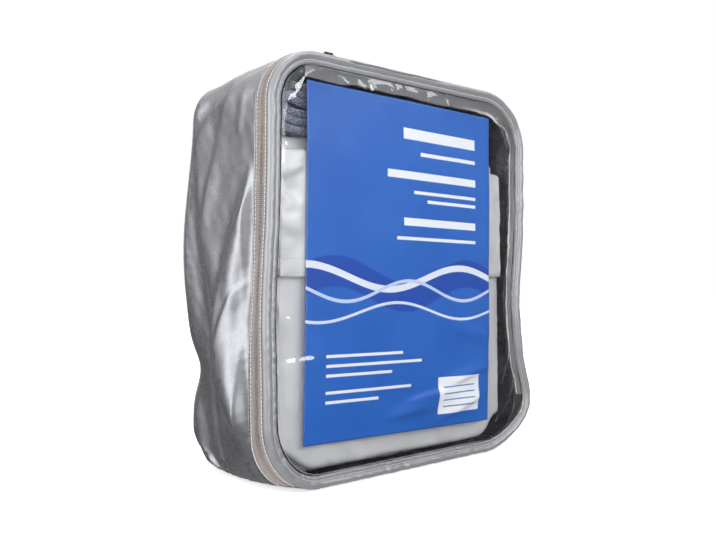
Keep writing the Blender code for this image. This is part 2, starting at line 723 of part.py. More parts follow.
def build():
    side_gusset(material("side gusset cloth", SILVER_CLOTH))
    bottom_gusset(material("bottom gusset cloth", SILVER_CLOTH))
    back_panel(material("back panel cloth", SILVER_CLOTH))
    back_piping(material("back piping cloth", BINDING_CLOTH))
    front_binding(material("front binding cloth", BINDING_CLOTH))
    window(material("clear window", CLEAR_FILM))
    zip_tape("zip_tape_front", TAPE_FRONT_Y, material("front zip tape", ZIP_CLOTH))
    zip_tape("zip_tape_rear", TAPE_REAR_Y, material("rear zip tape", ZIP_CLOTH))
    zip_coil(material("zip coil", COIL_NYLON))
    zip_slider(material("zip slider paint", BLACK_PAINT))
    zip_puller(material("zip puller paint", BLACK_PAINT))
    insert_card(material("insert card print", BLUE_PRINT))
    folded_cover(material("cover cloth", COVER_CLOTH))
    rope_hank(material("rope braid", ROPE_BRAID))


for leftover in list(bpy.data.objects):
    bpy.data.objects.remove(leftover)
build()
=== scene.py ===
import math
from collections import namedtuple

import bmesh
import bpy
import numpy as np
from mathutils import Matrix, Vector


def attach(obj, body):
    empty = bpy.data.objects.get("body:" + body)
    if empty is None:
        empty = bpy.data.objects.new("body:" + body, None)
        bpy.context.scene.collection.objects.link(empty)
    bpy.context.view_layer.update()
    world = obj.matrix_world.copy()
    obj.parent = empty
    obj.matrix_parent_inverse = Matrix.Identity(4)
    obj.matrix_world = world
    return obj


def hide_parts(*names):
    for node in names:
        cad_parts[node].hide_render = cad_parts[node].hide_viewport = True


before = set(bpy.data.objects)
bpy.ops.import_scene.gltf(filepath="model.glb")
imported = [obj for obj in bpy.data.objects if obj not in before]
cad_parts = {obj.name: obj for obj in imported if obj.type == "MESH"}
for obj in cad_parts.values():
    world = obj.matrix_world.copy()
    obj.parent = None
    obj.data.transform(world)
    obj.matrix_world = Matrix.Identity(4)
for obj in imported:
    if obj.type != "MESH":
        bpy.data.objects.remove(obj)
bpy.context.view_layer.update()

# Side gusset
# The long panel of the storage bag, round its left side, top and right side behind the zip. It is woven
# polyester with a thin silver coat, cut a little too full, and sewn into the seams at its front and back, so
# that it stands in long soft folds with a few hard creases.

BAG_LEFT = -0.148
BAG_RIGHT = 0.1485
BAG_HEIGHT = 0.3535
BAG_MIDDLE = Vector((0.0, 0.0, 0.17))
FRONT_SEAM_Y = -0.0705
BACK_PIPING_Y = 0.0695
SIDE_GUSSET_Y = (-0.0529, 0.0667)
BOTTOM_SEAM_LEFT = -0.123
BOTTOM_SEAM_RIGHT = 0.118
SEAM_GAP = 0.0003
CLOTH = 0.0006
LINE_STEPS = 24
ARC_STEPS = 48

Corner = namedtuple("Corner", "front_x front_z middle_x middle_z back_x back_z")
CORNERS = (
    Corner(0.047, 0.055, 0.012, 0.018, 0.03, 0.034),
    Corner(0.043, 0.045, 0.036, 0.04, 0.032, 0.036),
    Corner(0.055, 0.055, 0.04, 0.044, 0.034, 0.038),
    Corner(0.058, 0.048, 0.024, 0.028, 0.032, 0.034),
)

# Soft swellings and hollows. along is a height on left and right, and an x on top and bottom.
Bulge = namedtuple("Bulge", "side along y out reach_along reach_y")
BULGES = (
    Bulge("left", 0.2, 0.006, 0.0058, 0.1, 0.055),
    Bulge("left", 0.125, -0.03, 0.004, 0.035, 0.045),
    Bulge("left", 0.2, 0.072, 0.0088, 0.07, 0.03),
    Bulge("left", 0.101, 0.076, -0.009, 0.02, 0.026),
    Bulge("left", 0.16, -0.074, 0.003, 0.05, 0.022),
    Bulge("left", 0.066, -0.034, 0.006, 0.048, 0.048),
    Bulge("left", 0.3, 0.02, -0.003, 0.03, 0.035),
    Bulge("right", 0.15, -0.06, -0.006, 0.045, 0.05),
    Bulge("right", 0.048, -0.06, 0.0112, 0.03, 0.05),
    Bulge("right", 0.215, 0.02, 0.007, 0.08, 0.05),
    Bulge("right", 0.11, 0.06, 0.004, 0.05, 0.035),
    Bulge("top", -0.02, 0.01, 0.0025, 0.1, 0.05),
    Bulge("top", 0.085, 0.035, -0.003, 0.035, 0.03),
    Bulge("top", -0.1, 0.045, -0.003, 0.03, 0.025),
)

# Folds along a line of places (along, y). lean above 0 makes the flank on the line's left soft and the
# other one steep.
Fold = namedtuple("Fold", "side out width lean line")
FOLDS = (
    Fold("left", 0.0074, 0.019, 0.45, (
        (0.275, -0.07), (0.252, -0.056), (0.229, -0.039), (0.202, -0.024), (0.176, -0.0125),
        (0.15, -0.007), (0.134, -0.008), (0.098, -0.025), (0.0765, -0.043), (0.058, -0.062),
        (0.04, -0.08), (0.02, -0.1), (0.0, -0.12),
    )),
    Fold("left", 0.003, 0.012, -0.15, (
        (0.272, -0.06), (0.235, -0.046), (0.19, -0.032), (0.14, -0.028), (0.1, -0.036), (0.068, -0.05),
        (0.045, -0.066),
    )),
    Fold("left", -0.0022, 0.015, 0.0, (
        (0.2, 0.042), (0.155, 0.03), (0.098, 0.018), (0.0705, 0.002), (0.045, -0.018), (0.02, -0.04),
        (-0.005, -0.06),
    )),
    Fold("left", 0.0036, 0.011, 0.4, (
        (0.11, 0.064), (0.08, 0.058), (0.056, 0.047), (0.035, 0.036), (0.018, 0.024), (0.0, 0.01),
    )),
    Fold("left", 0.0036, 0.016, 0.35, (
        (0.3, 0.056), (0.264, 0.044), (0.214, 0.03), (0.186, 0.0165), (0.16, 0.005), (0.125, -0.003),
        (0.09, -0.015), (0.06, -0.03),
    )),
    Fold("left", 0.0022, 0.011, 0.45, (
        (0.335, -0.02), (0.311, -0.004), (0.298, 0.0075), (0.282, 0.0135), (0.252, 0.024), (0.22, 0.031),
    )),
    Fold("left", 0.0008, 0.006, 0.0, ((0.336, -0.038), (0.286, -0.0236))),
    Fold("left", 0.0032, 0.01, 0.5, (
        (0.346, -0.055), (0.33, -0.0195), (0.316, 0.0135), (0.304, 0.043), (0.284, 0.075),
    )),
    Fold("left", -0.0034, 0.01, 0.0, ((0.342, 0.0), (0.328, 0.03), (0.312, 0.06))),
    Fold("left", 0.0011, 0.006, -0.45, (
        (0.13, -0.008), (0.14, -0.013), (0.1646, -0.0266), (0.173, -0.039), (0.178, -0.06),
    )),
    Fold("left", 0.0008, 0.007, 0.0, (
        (0.17, 0.04), (0.105, 0.028), (0.0646, 0.0134), (0.042, -0.006), (0.002, -0.032),
    )),
    Fold("left", 0.0008, 0.006, 0.3, ((0.08, 0.006), (0.035, -0.022), (0.0, -0.05))),
    Fold("left", 0.0024, 0.006, 0.0, ((0.038, -0.05), (-0.004, -0.046))),
    Fold("left", 0.0022, 0.005, 0.3, ((0.052, 0.03), (0.03, 0.018), (0.01, 0.004))),
    Fold("left", 0.001, 0.005, 0.5, ((0.256, -0.058), (0.216, -0.034))),
    Fold("right", -0.005, 0.01, 0.35, ((0.305, 0.052), (0.2514, 0.0188), (0.19, 0.004))),
    Fold("right", -0.005, 0.0095, -0.35, ((0.25, -0.046), (0.2112, -0.0083), (0.165, 0.02))),
    Fold("right", -0.0045, 0.011, 0.3, ((0.15, 0.01), (0.1134, -0.0224), (0.07, -0.045))),
    Fold("right", -0.0045, 0.01, -0.3, ((0.12, 0.052), (0.0742, 0.0285), (0.035, -0.005))),
    Fold("right", 0.003, 0.009, 0.0, ((0.095, 0.03), (0.03, 0.048))),
    Fold("top", 0.004, 0.0065, 0.0, ((-0.075, -0.0455), (0.055, -0.0455))),
    Fold("top", -0.0034, 0.01, 0.35, ((-0.11, 0.056), (-0.0461, 0.03), (0.01, -0.01))),
    Fold("top", -0.0034, 0.011, -0.35, ((0.12, 0.05), (0.0719, 0.0281), (0.03, -0.004))),
    Fold("top", 0.0026, 0.011, 0.0, ((0.0, 0.058), (0.06, 0.01))),
)
SEAM_FADE = 0.01
FOLD_RUN_OUT = 0.35
FLOOR_FADE = 0.03
NORMAL_STEP = 0.002
STATION_STEP = 0.0001
WELD_DISTANCE = 0.00002


def outline(radii):
    """Points (x, z) round the bag from the middle of its bottom, left side first. radii has two a corner."""
    starts = ((BAG_LEFT, 0.0, 1, 1, 270), (BAG_LEFT, BAG_HEIGHT, 1, -1, 180))
    starts += ((BAG_RIGHT, BAG_HEIGHT, -1, -1, 90), (BAG_RIGHT, 0.0, -1, 1, 0))
    last = np.zeros(2)
    runs = []
    for (x, z, inward_x, inward_z, start), (radius_x, radius_z) in zip(starts, radii):
        turns = np.radians(np.linspace(start, start - 90, ARC_STEPS + 1))
        middle = np.array((x + inward_x * radius_x, z + inward_z * radius_z))
        arc = middle + np.stack((radius_x * np.cos(turns), radius_z * np.sin(turns)), 1)
        runs.append(np.linspace(last, arc[0], LINE_STEPS, endpoint=False))
        runs.append(arc[:-1])
        last = arc[-1]
    runs.append(np.linspace(last, np.zeros(2), LINE_STEPS + 1))
    return np.concatenate(runs)


def run_lengths(points):
    """How far along a line each of its points is."""
    return np.concatenate(([0.0], np.cumsum(np.linalg.norm(np.diff(points, axis=0), axis=1))))


FRONT_OUTLINE = outline([(corner.front_x, corner.front_z) for corner in CORNERS])
MIDDLE_OUTLINE = outline([(corner.middle_x, corner.middle_z) for corner in CORNERS])
BACK_OUTLINE = outline([(corner.back_x, corner.back_z) for corner in CORNERS])
STATIONS = run_lengths(FRONT_OUTLINE)
ROUND_LENGTH = STATIONS[-1]


def smooth(value):
    """0 below 0, 1 above 1, and a smooth rise between them."""
    value = np.clip(value, 0.0, 1.0)
    return value * value * (3.0 - 2.0 * value)


def risen(value, low, high):
    """0 below low, 1 above high, and a smooth rise between them."""
    return smooth((value - low) / (high - low))


def on_outline(points, station):
    wrapped = station % ROUND_LENGTH
    return np.stack([np.interp(wrapped, STATIONS, points[:, axis]) for axis in (0, 1)], -1)


def outward(points, station):
    """Unit normal of the outline at each station, pointing out of the bag."""
    along = on_outline(points, station + NORMAL_STEP) - on_outline(points, station - NORMAL_STEP)
    normal = np.stack((-along[..., 1], along[..., 0]), -1)
    return normal / np.linalg.norm(normal, axis=-1, keepdims=True)


def station_of(side, along):
    """Station on the front outline nearest to a height on a side, or to an x on the top or the bottom."""
    targets = {"left": (BAG_LEFT, along), "right": (BAG_RIGHT, along)}
    targets.update({"top": (along, BAG_HEIGHT), "bottom": (along, 0.0)})
    near = np.arange(0.0, ROUND_LENGTH, STATION_STEP)
    away = np.linalg.norm(on_outline(FRONT_OUTLINE, near) - np.array(targets[side]), axis=1)
    return near[np.argmin(away)]


SEAM_LEFT = station_of("bottom", BOTTOM_SEAM_LEFT)
SEAM_RIGHT = station_of("bottom", BOTTOM_SEAM_RIGHT)
FLAT_LEFT = station_of("bottom", BAG_LEFT + CORNERS[0].front_x)
FLAT_RIGHT = station_of("bottom", BAG_RIGHT - CORNERS[3].front_x)


def bowed(start, end, bow):
    """A line from start to end that stands bow to the left in its middle."""
    start = np.array(start)
    end = np.array(end)
    across = np.array((start[1] - end[1], end[0] - start[0])) / np.linalg.norm(end - start)
    shares = np.linspace(0.0, 1.0, 13)[:, None]
    return start + (end - start) * shares + across * bow * 4.0 * shares * (1.0 - shares)


def rounded(line):
    """The line with its corners cut twice."""
    line = np.array(line)
    for _ in range(2):
        cuts = np.stack((line[:-1] * 0.75 + line[1:] * 0.25, line[:-1] * 0.25 + line[1:] * 0.75), 1)
        line = np.concatenate((line[:1], cuts.reshape(-1, 2), line[-1:]))
    return line


def fold_depth(line, width, lean, place):
    """A fold's depth, from 0 to 1, at places in a plane. It runs out to nothing at both its ends."""
    best = np.full(place.shape[:-1], 1.0)
    best_share = np.zeros(best.shape)
    best_side = np.ones(best.shape)
    runs = np.diff(line, axis=0)
    for step, run in enumerate(runs):
        away = place - line[step]
        share = np.clip((away @ run) / (run @ run), 0.0, 1.0)
        offset = away - run * share[..., None]
        distance = np.linalg.norm(offset, axis=-1)
        left = np.array((-run[1], run[0])) / np.linalg.norm(run)
        nearer = distance < best
        best = np.where(nearer, distance, best)
        best_share = np.where(nearer, (step + share) / len(runs), best_share)
        best_side = np.where(nearer, np.tanh(offset @ left / (width * 0.3)), best_side)
    ends = smooth(best_share / FOLD_RUN_OUT) * smooth((1.0 - best_share) / FOLD_RUN_OUT)
    return ends * np.exp(-((best / (width * (1.0 + lean * best_side))) ** 2))


def gusset_fold(fold, station, y):
    line = rounded([(station_of(fold.side, along), across) for along, across in fold.line])
    return fold.out * fold_depth(line, fold.width, fold.lean, np.stack((station, y), -1))


def swell(station, y, creased=True):
    """How far the bag's side stands out from its outline at each station and depth."""
    station = station % ROUND_LENGTH
    above_floor = smooth((station - FLAT_LEFT) / FLOOR_FADE) * smooth((FLAT_RIGHT - station) / FLOOR_FADE)
    out = np.zeros(np.broadcast(station, y).shape)
    for bulge in BULGES:
        away = station - station_of(bulge.side, bulge.along)
        out = out + bulge.out * np.exp(
            -((away / bulge.reach_along) ** 2) - ((y - bulge.y) / bulge.reach_y) ** 2
        )
    if creased:
        front, back = SIDE_GUSSET_Y
        in_panel = smooth((y - front) / SEAM_FADE) * smooth((back - y) / SEAM_FADE)
        out = out + in_panel * sum(gusset_fold(fold, station, y) for fold in FOLDS)
    return out * above_floor


def band_points(station, y, inward=0.0, creased=True):
    """Points of the bag's side at stations and depths, some way in from its outer surface."""
    station, y, inward = np.broadcast_arrays(station, y, inward)
    share = ((y - FRONT_SEAM_Y) / (BACK_PIPING_Y - FRONT_SEAM_Y))[..., None]
    weights = (
        (FRONT_OUTLINE, (1.0 - share) * (1.0 - 2.0 * share)),
        (MIDDLE_OUTLINE, 4.0 * share * (1.0 - share)),
        (BACK_OUTLINE, share * (2.0 * share - 1.0)),
    )
    middle = sum(on_outline(points, station) * weight for points, weight in weights)
    normal = sum(outward(points, station) * weight for points, weight in weights)
    normal = normal / np.linalg.norm(normal, axis=-1, keepdims=True)
    place = middle + normal * (swell(station, y, creased) - inward)[..., None]
    return np.stack((place[..., 0], y, place[..., 1]), -1)


# Smooth uneven waves of a height and a length. across is how much of the second coordinate counts.
Ripple = namedtuple("Ripple", "height length seed across", defaults=(1.0,))
RIPPLE_SINES = 7


def ripples(first, second, *waves, lap=None):
    """The waves all together, at two coordinates. With lap, they repeat after that length of the first."""
    total = np.zeros(np.broadcast(first, second).shape)
    for wave in waves:
        rng = np.random.default_rng(wave.seed)
        summed = np.zeros(total.shape)
        for _ in range(RIPPLE_SINES):
            turn = rng.uniform(0.0, math.pi)
            pace = 2.0 * math.pi / (wave.length * rng.uniform(0.7, 1.5))
            phase = rng.uniform(0.0, 2.0 * math.pi)
            first_pace = pace * math.cos(turn)
            if lap:
                first_pace = round(first_pace * lap / (2.0 * math.pi)) * 2.0 * math.pi / lap
            second_pace = pace * math.sin(turn) * wave.across
            summed = summed + np.sin(first_pace * first + second_pace * second + phase)
        total = total + wave.height * summed / 4.0
    return total


def sheet_piece(name, columns, rows, place, pattern, thickness=0.0, closed=False, solid=False):
    """A piece from one grid. place and pattern give its corners' places and pattern coordinates, in metres.

    closed joins the edges that meet, solid says that they then close the whole piece, and thickness makes a
    thin wall on the inner side of what is left open.
    """
    bm = bmesh.new()
    layer = bm.loops.layers.uv.new("pattern")
    bmesh.ops.create_grid(bm, x_segments=columns, y_segments=rows, size=0.5)
    shares = np.array([vertex.co[:2] for vertex in bm.verts]) + 0.5
    places = place(shares[:, 0], shares[:, 1])
    patterns = pattern(shares[:, 0], shares[:, 1])
    bm.verts.index_update()
    for face in bm.faces:
        for loop in face.loops:
            loop[layer].uv = patterns[loop.vert.index]
    for vertex, spot in zip(bm.verts, places):
        vertex.co = spot
    if closed:
        bmesh.ops.remove_doubles(bm, verts=bm.verts[:], dist=WELD_DISTANCE)
    bm.normal_update()
    if solid:
        bmesh.ops.holes_fill(bm, edges=[edge for edge in bm.edges if edge.is_boundary])
        bmesh.ops.recalc_face_normals(bm, faces=bm.faces[:])
    elif sum(face.normal.dot(face.calc_center_median() - BAG_MIDDLE) for face in bm.faces) < 0.0:
        bmesh.ops.reverse_faces(bm, faces=bm.faces[:])
    made = piece_of(name, bm)
    if thickness:
        wall = made.modifiers.new("thickness", "SOLIDIFY")
        wall.thickness = thickness
        wall.offset = -1.0
    return made


def piece_of(name, bm):
    mesh = bpy.data.meshes.new(name)
    bm.to_mesh(mesh)
    bm.free()
    mesh.shade_smooth()
    made = bpy.data.objects.new(name, mesh)
    bpy.context.scene.collection.objects.link(made)
    return made


def linear(colour):
    """A shader's colour from sRGB hex."""
    parts = [int(colour[index : index + 2], 16) / 255.0 for index in (1, 3, 5)]
    parts = [part / 12.92 if part <= 0.04045 else ((part + 0.055) / 1.055) ** 2.4 for part in parts]
    return (*parts, 1.0)


def add_node(tree, kind, inputs=None, **settings):
    """Adds a node. inputs maps its sockets to values, or to another node's output, which is linked."""
    made = tree.nodes.new(kind)
    for name, value in settings.items():
        setattr(made, name, value)
    for socket, value in (inputs or {}).items():
        if isinstance(value, bpy.types.NodeSocket):
            tree.links.new(value, made.inputs[socket])
        else:
            made.inputs[socket].default_value = value
    return made


def finish_of(name, **sockets):
    """A new material and its node tree, with the sockets of its shader that are the same all over."""
    made = bpy.data.materials.new(name)
    made.use_nodes = True
    shader = made.node_tree.nodes["Principled BSDF"]
    for socket, value in sockets.items():
        shader.inputs[socket.replace("_", " ")].default_value = value
    return made, made.node_tree


def feed(made, **outputs):
    """Links outputs to the sockets of a material's shader, and gives the material back."""
    shader = made.node_tree.nodes["Principled BSDF"]
    for socket, output in outputs.items():
        made.node_tree.links.new(output, shader.inputs[socket.replace("_", " ")])
    return made


def pattern_of(tree):
    return add_node(tree, "ShaderNodeUVMap", uv_map="pattern").outputs["UV"]


def object_place(tree):
    return add_node(tree, "ShaderNodeTexCoord").outputs["Object"]


def noise_of(tree, place, scale, detail, **inputs):
    inputs = {"Vector": place, "Scale": scale, "Detail": detail, **inputs}
    return add_node(tree, "ShaderNodeTexNoise", inputs).outputs["Fac"]


def bands_of(tree, place, spacing, distortion, direction="X"):
    """Soft bands across a place, at a spacing in the place's units."""
    inputs = {"Vector": place, "Scale": math.pi / 10.0 / spacing, "Distortion": distortion}
    return add_node(tree, "ShaderNodeTexWave", inputs, bands_direction=direction).outputs["Fac"]


def ranged(tree, value, low, high, from_low=0.0, from_high=1.0, **settings):
    """A value moved from one range to another and kept within it."""
    inputs = {"Value": value, "From Min": from_low, "From Max": from_high, "To Min": low, "To Max": high}
    return add_node(tree, "ShaderNodeMapRange", inputs, **settings).outputs[0]


def computed(tree, kind, first, second):
    return add_node(tree, "ShaderNodeMath", {0: first, 1: second}, operation=kind).outputs[0]


def mixed(tree, share, low, high):
    """A colour between two, each of them sRGB hex or another node's output."""
    low, high = [linear(end) if isinstance(end, str) else end for end in (low, high)]
    return add_node(tree, "ShaderNodeMix", {0: share, 6: low, 7: high}, data_type="RGBA").outputs[2]


def bumped(tree, height, strength, distance, **inputs):
    inputs = {"Height": height, "Strength": strength, "Distance": distance, **inputs}
    return add_node(tree, "ShaderNodeBump", inputs).outputs[0]


def dress(piece, finish, slot, *nodes):
    """Gives a piece its material, its body and the CAD nodes it stands for. slot is not used."""
    piece.data.materials.append(finish)
    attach(piece, "root")
    if nodes:
        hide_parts(*nodes)
    return piece


THREAD_SPACING_MM = 0.28274


def silver_polyester(name, light, dark, metallic, roughness):
    """Silver-coated woven polyester, satin: broad soft highlights, a faint thread grain, small crumples."""
    made, tree = finish_of(name, Metallic=metallic, Sheen_Weight=0.06, Sheen_Roughness=0.4)
    to_millimetres = {0: pattern_of(tree), 1: (1000.0, 1000.0, 1000.0)}
    millimetres = add_node(tree, "ShaderNodeVectorMath", to_millimetres, operation="MULTIPLY").outputs[0]
    threads = [bands_of(tree, millimetres, THREAD_SPACING_MM, 0.6, direction) for direction in "XY"]
    weave = bumped(tree, computed(tree, "MULTIPLY", *threads), 0.12, 0.0002)
    crumple = noise_of(tree, millimetres, 1 / 18, 2.0, Roughness=0.5, Distortion=0.8)
    gloss = noise_of(tree, millimetres, 1 / 9, 3.0)
    return feed(
        made,
        Base_Color=mixed(tree, noise_of(tree, millimetres, 1 / 45, 5.0), dark, light),
        Roughness=ranged(tree, gloss, roughness - 0.06, roughness + 0.08),
        Normal=bumped(tree, crumple, 0.09, 0.0012, Normal=weave),
    )


BAG_CLOTH = silver_polyester("silver coated polyester", "#9fa0a5", "#8c8d92", 0.88, 0.27)

GUSSET_ROWS = 72
LEFT_CELLS = 250
TOP_CELLS = 110
RIGHT_CELLS = 150
GUSSET_WIDTH = SIDE_GUSSET_Y[1] - SIDE_GUSSET_Y[0]
PUCKERS = (Ripple(0.0004, 0.0085, 3, 0.5), Ripple(0.00032, 0.01785, 7, 0.7))
PUCKER_UNEVEN = Ripple(1.0, 0.06, 8)
PUCKER_LEAST = 0.4
PUCKER_REACH = 0.011
GATHER = Ripple(0.00088, 0.0085, 4, 0.1)
GATHER_REACH = 0.012
CRUMPLES = (Ripple(0.00018, 0.034, 5), Ripple(0.00009, 0.016, 6))
CRUMPLE_FADE = 0.006
SEAM_HOLD = 0.0015
SEAM_TUCK = 0.0022
SEAM_TUCK_REACH = 0.0016
SEAM_TUCK_FADE = 0.004


def gusset_station(share):
    """Station along the side gusset. The left side, whose folds show most, gets more of the cells."""
    cells = np.cumsum((0, LEFT_CELLS, TOP_CELLS, RIGHT_CELLS))
    left_corner = station_of("top", BAG_LEFT + CORNERS[1].front_x)
    right_corner = station_of("top", BAG_RIGHT - CORNERS[2].front_x)
    inset = SEAM_GAP / 2.0
    places = (SEAM_LEFT + inset, left_corner, right_corner, SEAM_RIGHT - inset)
    return np.interp(share, cells / cells[-1], places)


def seam_tuck(edge, ends):
    """How far in the cloth is drawn where the side gusset and the bottom gusset are sewn together."""
    return SEAM_TUCK * np.exp(-ends / SEAM_TUCK_REACH) * smooth(edge / SEAM_TUCK_FADE)


def gusset_places(u, v):
    station = gusset_station(u)
    y = SIDE_GUSSET_Y[0] + GUSSET_WIDTH * v
    edge = np.minimum(y - SIDE_GUSSET_Y[0], SIDE_GUSSET_Y[1] - y)
    ends = np.minimum(station - SEAM_LEFT, SEAM_RIGHT - station)
    uneven = PUCKER_LEAST + ripples(station, y, PUCKER_UNEVEN) ** 2
    pucker = ripples(station, y, *PUCKERS) * uneven * np.exp(-edge / PUCKER_REACH)
    gather = ripples(y, station, GATHER) * np.exp(-ends / GATHER_REACH)
    crumple = ripples(station, y, *CRUMPLES)
    free = smooth(edge / CRUMPLE_FADE) * smooth(ends / CRUMPLE_FADE)
    held = smooth(edge / SEAM_HOLD) * smooth(ends / SEAM_HOLD)
    return band_points(station, y, seam_tuck(edge, ends) - (pucker + gather) * held - crumple * free)


side_gusset = sheet_piece(
    "side_gusset_cloth",
    LEFT_CELLS + TOP_CELLS + RIGHT_CELLS,
    GUSSET_ROWS,
    gusset_places,
    lambda u, v: np.stack((gusset_station(u), v * GUSSET_WIDTH), -1),
    thickness=CLOTH,
)
dress(side_gusset, BAG_CLOTH, "silver_cloth", "side_gusset")

# Bottom gusset
# The bag's bottom panel, of the same silver polyester. It lies flat where the bag stands and turns up at
# both ends, where the side gusset is gathered into its seam.

BOTTOM_CELLS = 180
BOTTOM_ROWS = 60
BOTTOM_GUSSET_Y = (-0.0702, 0.0667)
BOTTOM_WIDTH = BOTTOM_GUSSET_Y[1] - BOTTOM_GUSSET_Y[0]
BOTTOM_LENGTH = ROUND_LENGTH - SEAM_RIGHT + SEAM_LEFT
STANDS_FROM = 0.018
RUFFLE = Ripple(0.0007, 0.0085, 11, 0.2)
RUFFLE_REACH = 0.01
BOTTOM_PUCKER = Ripple(0.0004, 0.0085, 12, 0.2)
BOTTOM_PUCKER_REACH = 0.006


def bottom_station(share):
    return SEAM_LEFT - SEAM_GAP / 2.0 - (BOTTOM_LENGTH - SEAM_GAP) * share


def bottom_places(u, v):
    """The waves at the seams go either way, but only up where the panel stands on something."""
    station = bottom_station(u)
    y = BOTTOM_GUSSET_Y[0] + BOTTOM_WIDTH * v
    edge = np.minimum(y - BOTTOM_GUSSET_Y[0], BOTTOM_GUSSET_Y[1] - y)
    ends = np.minimum(u, 1.0 - u) * BOTTOM_LENGTH
    waves = ripples(y, station, RUFFLE) * np.exp(-ends / RUFFLE_REACH)
    waves = waves + ripples(station, y, BOTTOM_PUCKER) * np.exp(-edge / BOTTOM_PUCKER_REACH)
    waves = waves * smooth(edge / SEAM_HOLD) * smooth(ends / SEAM_HOLD)
    waves = np.where(ends > STANDS_FROM, np.abs(waves), -waves)
    return band_points(station, y, seam_tuck(edge, ends) + waves)


bottom_gusset = sheet_piece(
    "bottom_gusset_cloth",
    BOTTOM_CELLS,
    BOTTOM_ROWS,
    bottom_places,
    lambda u, v: np.stack((bottom_station(u), v * BOTTOM_WIDTH), -1),
    thickness=CLOTH,
)
dress(bottom_gusset, BAG_CLOTH, "silver_cloth", "bottom_gusset")

# Back panel and its welt
# The bag's plain back, of the same silver polyester, pushed out by what fills the bag. A corded welt of the
# same cloth is sewn into the seam all round it.

PIPING_INSET = 0.0029
PIPING_RADIUS = 0.0025
BACK_PANEL_INSET = PIPING_INSET + PIPING_RADIUS + SEAM_GAP
BACK_PANEL_Y = 0.0702
BACK_DOME = 0.0088
DOME_POWER = 2.5
WINDOW_INSET = 0.011
RING_CELLS = 420
PANEL_CELLS = 46
PANEL_REACH = 0.16
BACK_PUCKER = Ripple(0.0005, 0.011, 21, 0.2)
BACK_PUCKER_REACH = 0.01
BACK_CRUMPLES = (Ripple(0.0009, 0.11, 22), Ripple(0.0004, 0.04, 23))
BACK_CRUMPLE_FADE = 0.02
BACK_SEAM_HOLD = 0.002
WELT_SIDES = 16
WELT_WAVE = Ripple(0.00015, 0.006, 25)


def dome(x, z):
    """1 in the middle of a panel and 0 at its seams."""
    across = np.abs(x - (BAG_LEFT + BAG_RIGHT) / 2.0) / (BAG_RIGHT - WINDOW_INSET)
    up = np.abs(z - BAG_HEIGHT / 2.0) / (BAG_HEIGHT / 2.0 - WINDOW_INSET)
    return np.maximum(1.0 - across**DOME_POWER, 0.0) * np.maximum(1.0 - up**DOME_POWER, 0.0)


def panel_spots(u, v, seam_y, inset):
    """Places (x, z) of a panel whose rows shrink from its edge, at v = 0, to its middle."""
    edge = band_points(u * ROUND_LENGTH, seam_y, inset, creased=False)[:, (0, 2)]
    middle = np.array(((BAG_LEFT + BAG_RIGHT) / 2.0, BAG_HEIGHT / 2.0))
    return middle + (edge - middle) * (1.0 - v)[:, None]


def back_spots(u, v):
    return panel_spots(u, v, BACK_PIPING_Y, BACK_PANEL_INSET)


def back_places(u, v):
    x, z = back_spots(u, v).T
    edge = v * PANEL_REACH
    pucker = ripples(u * ROUND_LENGTH, edge, BACK_PUCKER, lap=ROUND_LENGTH)
    pucker = pucker * np.exp(-edge / BACK_PUCKER_REACH)
    crumple = ripples(x, z, *BACK_CRUMPLES) * smooth(edge / BACK_CRUMPLE_FADE)
    y = BACK_PANEL_Y + BACK_DOME * dome(x, z) + (pucker + crumple) * smooth(edge / BACK_SEAM_HOLD)
    return np.stack((x, y, z), -1)


back_panel = sheet_piece(
    "back_panel_cloth", RING_CELLS, PANEL_CELLS, back_places, back_spots, thickness=CLOTH, closed=True
)
dress(back_panel, BAG_CLOTH, "silver_cloth", "back_panel")


def ring_section(section, y, wrinkle):
    """A cord or roll that runs once round the bag, whose section is a closed list of (inward, forward)."""
    section = np.array([*section, section[0]])
    lengths = run_lengths(section)

    def places(u, v):
        station = u * ROUND_LENGTH
        inward = np.interp(v * lengths[-1], lengths, section[:, 0])
        forward = np.interp(v * lengths[-1], lengths, section[:, 1])
        spots = band_points(station, y, inward, creased=False)
        spots[:, 1] -= forward + wrinkle(station, inward, forward)
        return spots

    return places, lambda u, v: np.stack((u * ROUND_LENGTH, v * lengths[-1]), -1)


def welt_wrinkle(station, inward, forward):
    return ripples(station, inward, WELT_WAVE, lap=ROUND_LENGTH)


welt_turns = np.linspace(0.0, 2.0 * math.pi, WELT_SIDES, endpoint=False)
welt_section = np.stack((np.cos(welt_turns), np.sin(welt_turns)), 1) * PIPING_RADIUS + (PIPING_INSET, 0.0)
welt_forms = ring_section(welt_section, BACK_PIPING_Y, welt_wrinkle)
back_piping = sheet_piece("back_piping_welt", RING_CELLS, WELT_SIDES, *welt_forms, closed=True, solid=True)
WELT_CLOTH = silver_polyester("silver polyester over cord", "#77787c", "#66676b", 0.55, 0.42)
dress(back_piping, WELT_CLOTH, "binding_cloth", "back_piping")

# Zip
# A nylon coil zip that opens the bag round its left side, top and right side. Its two woven polyester tapes
# are sewn under the edges of the cloth, with a double row of teeth in between: one bent nylon thread a side.

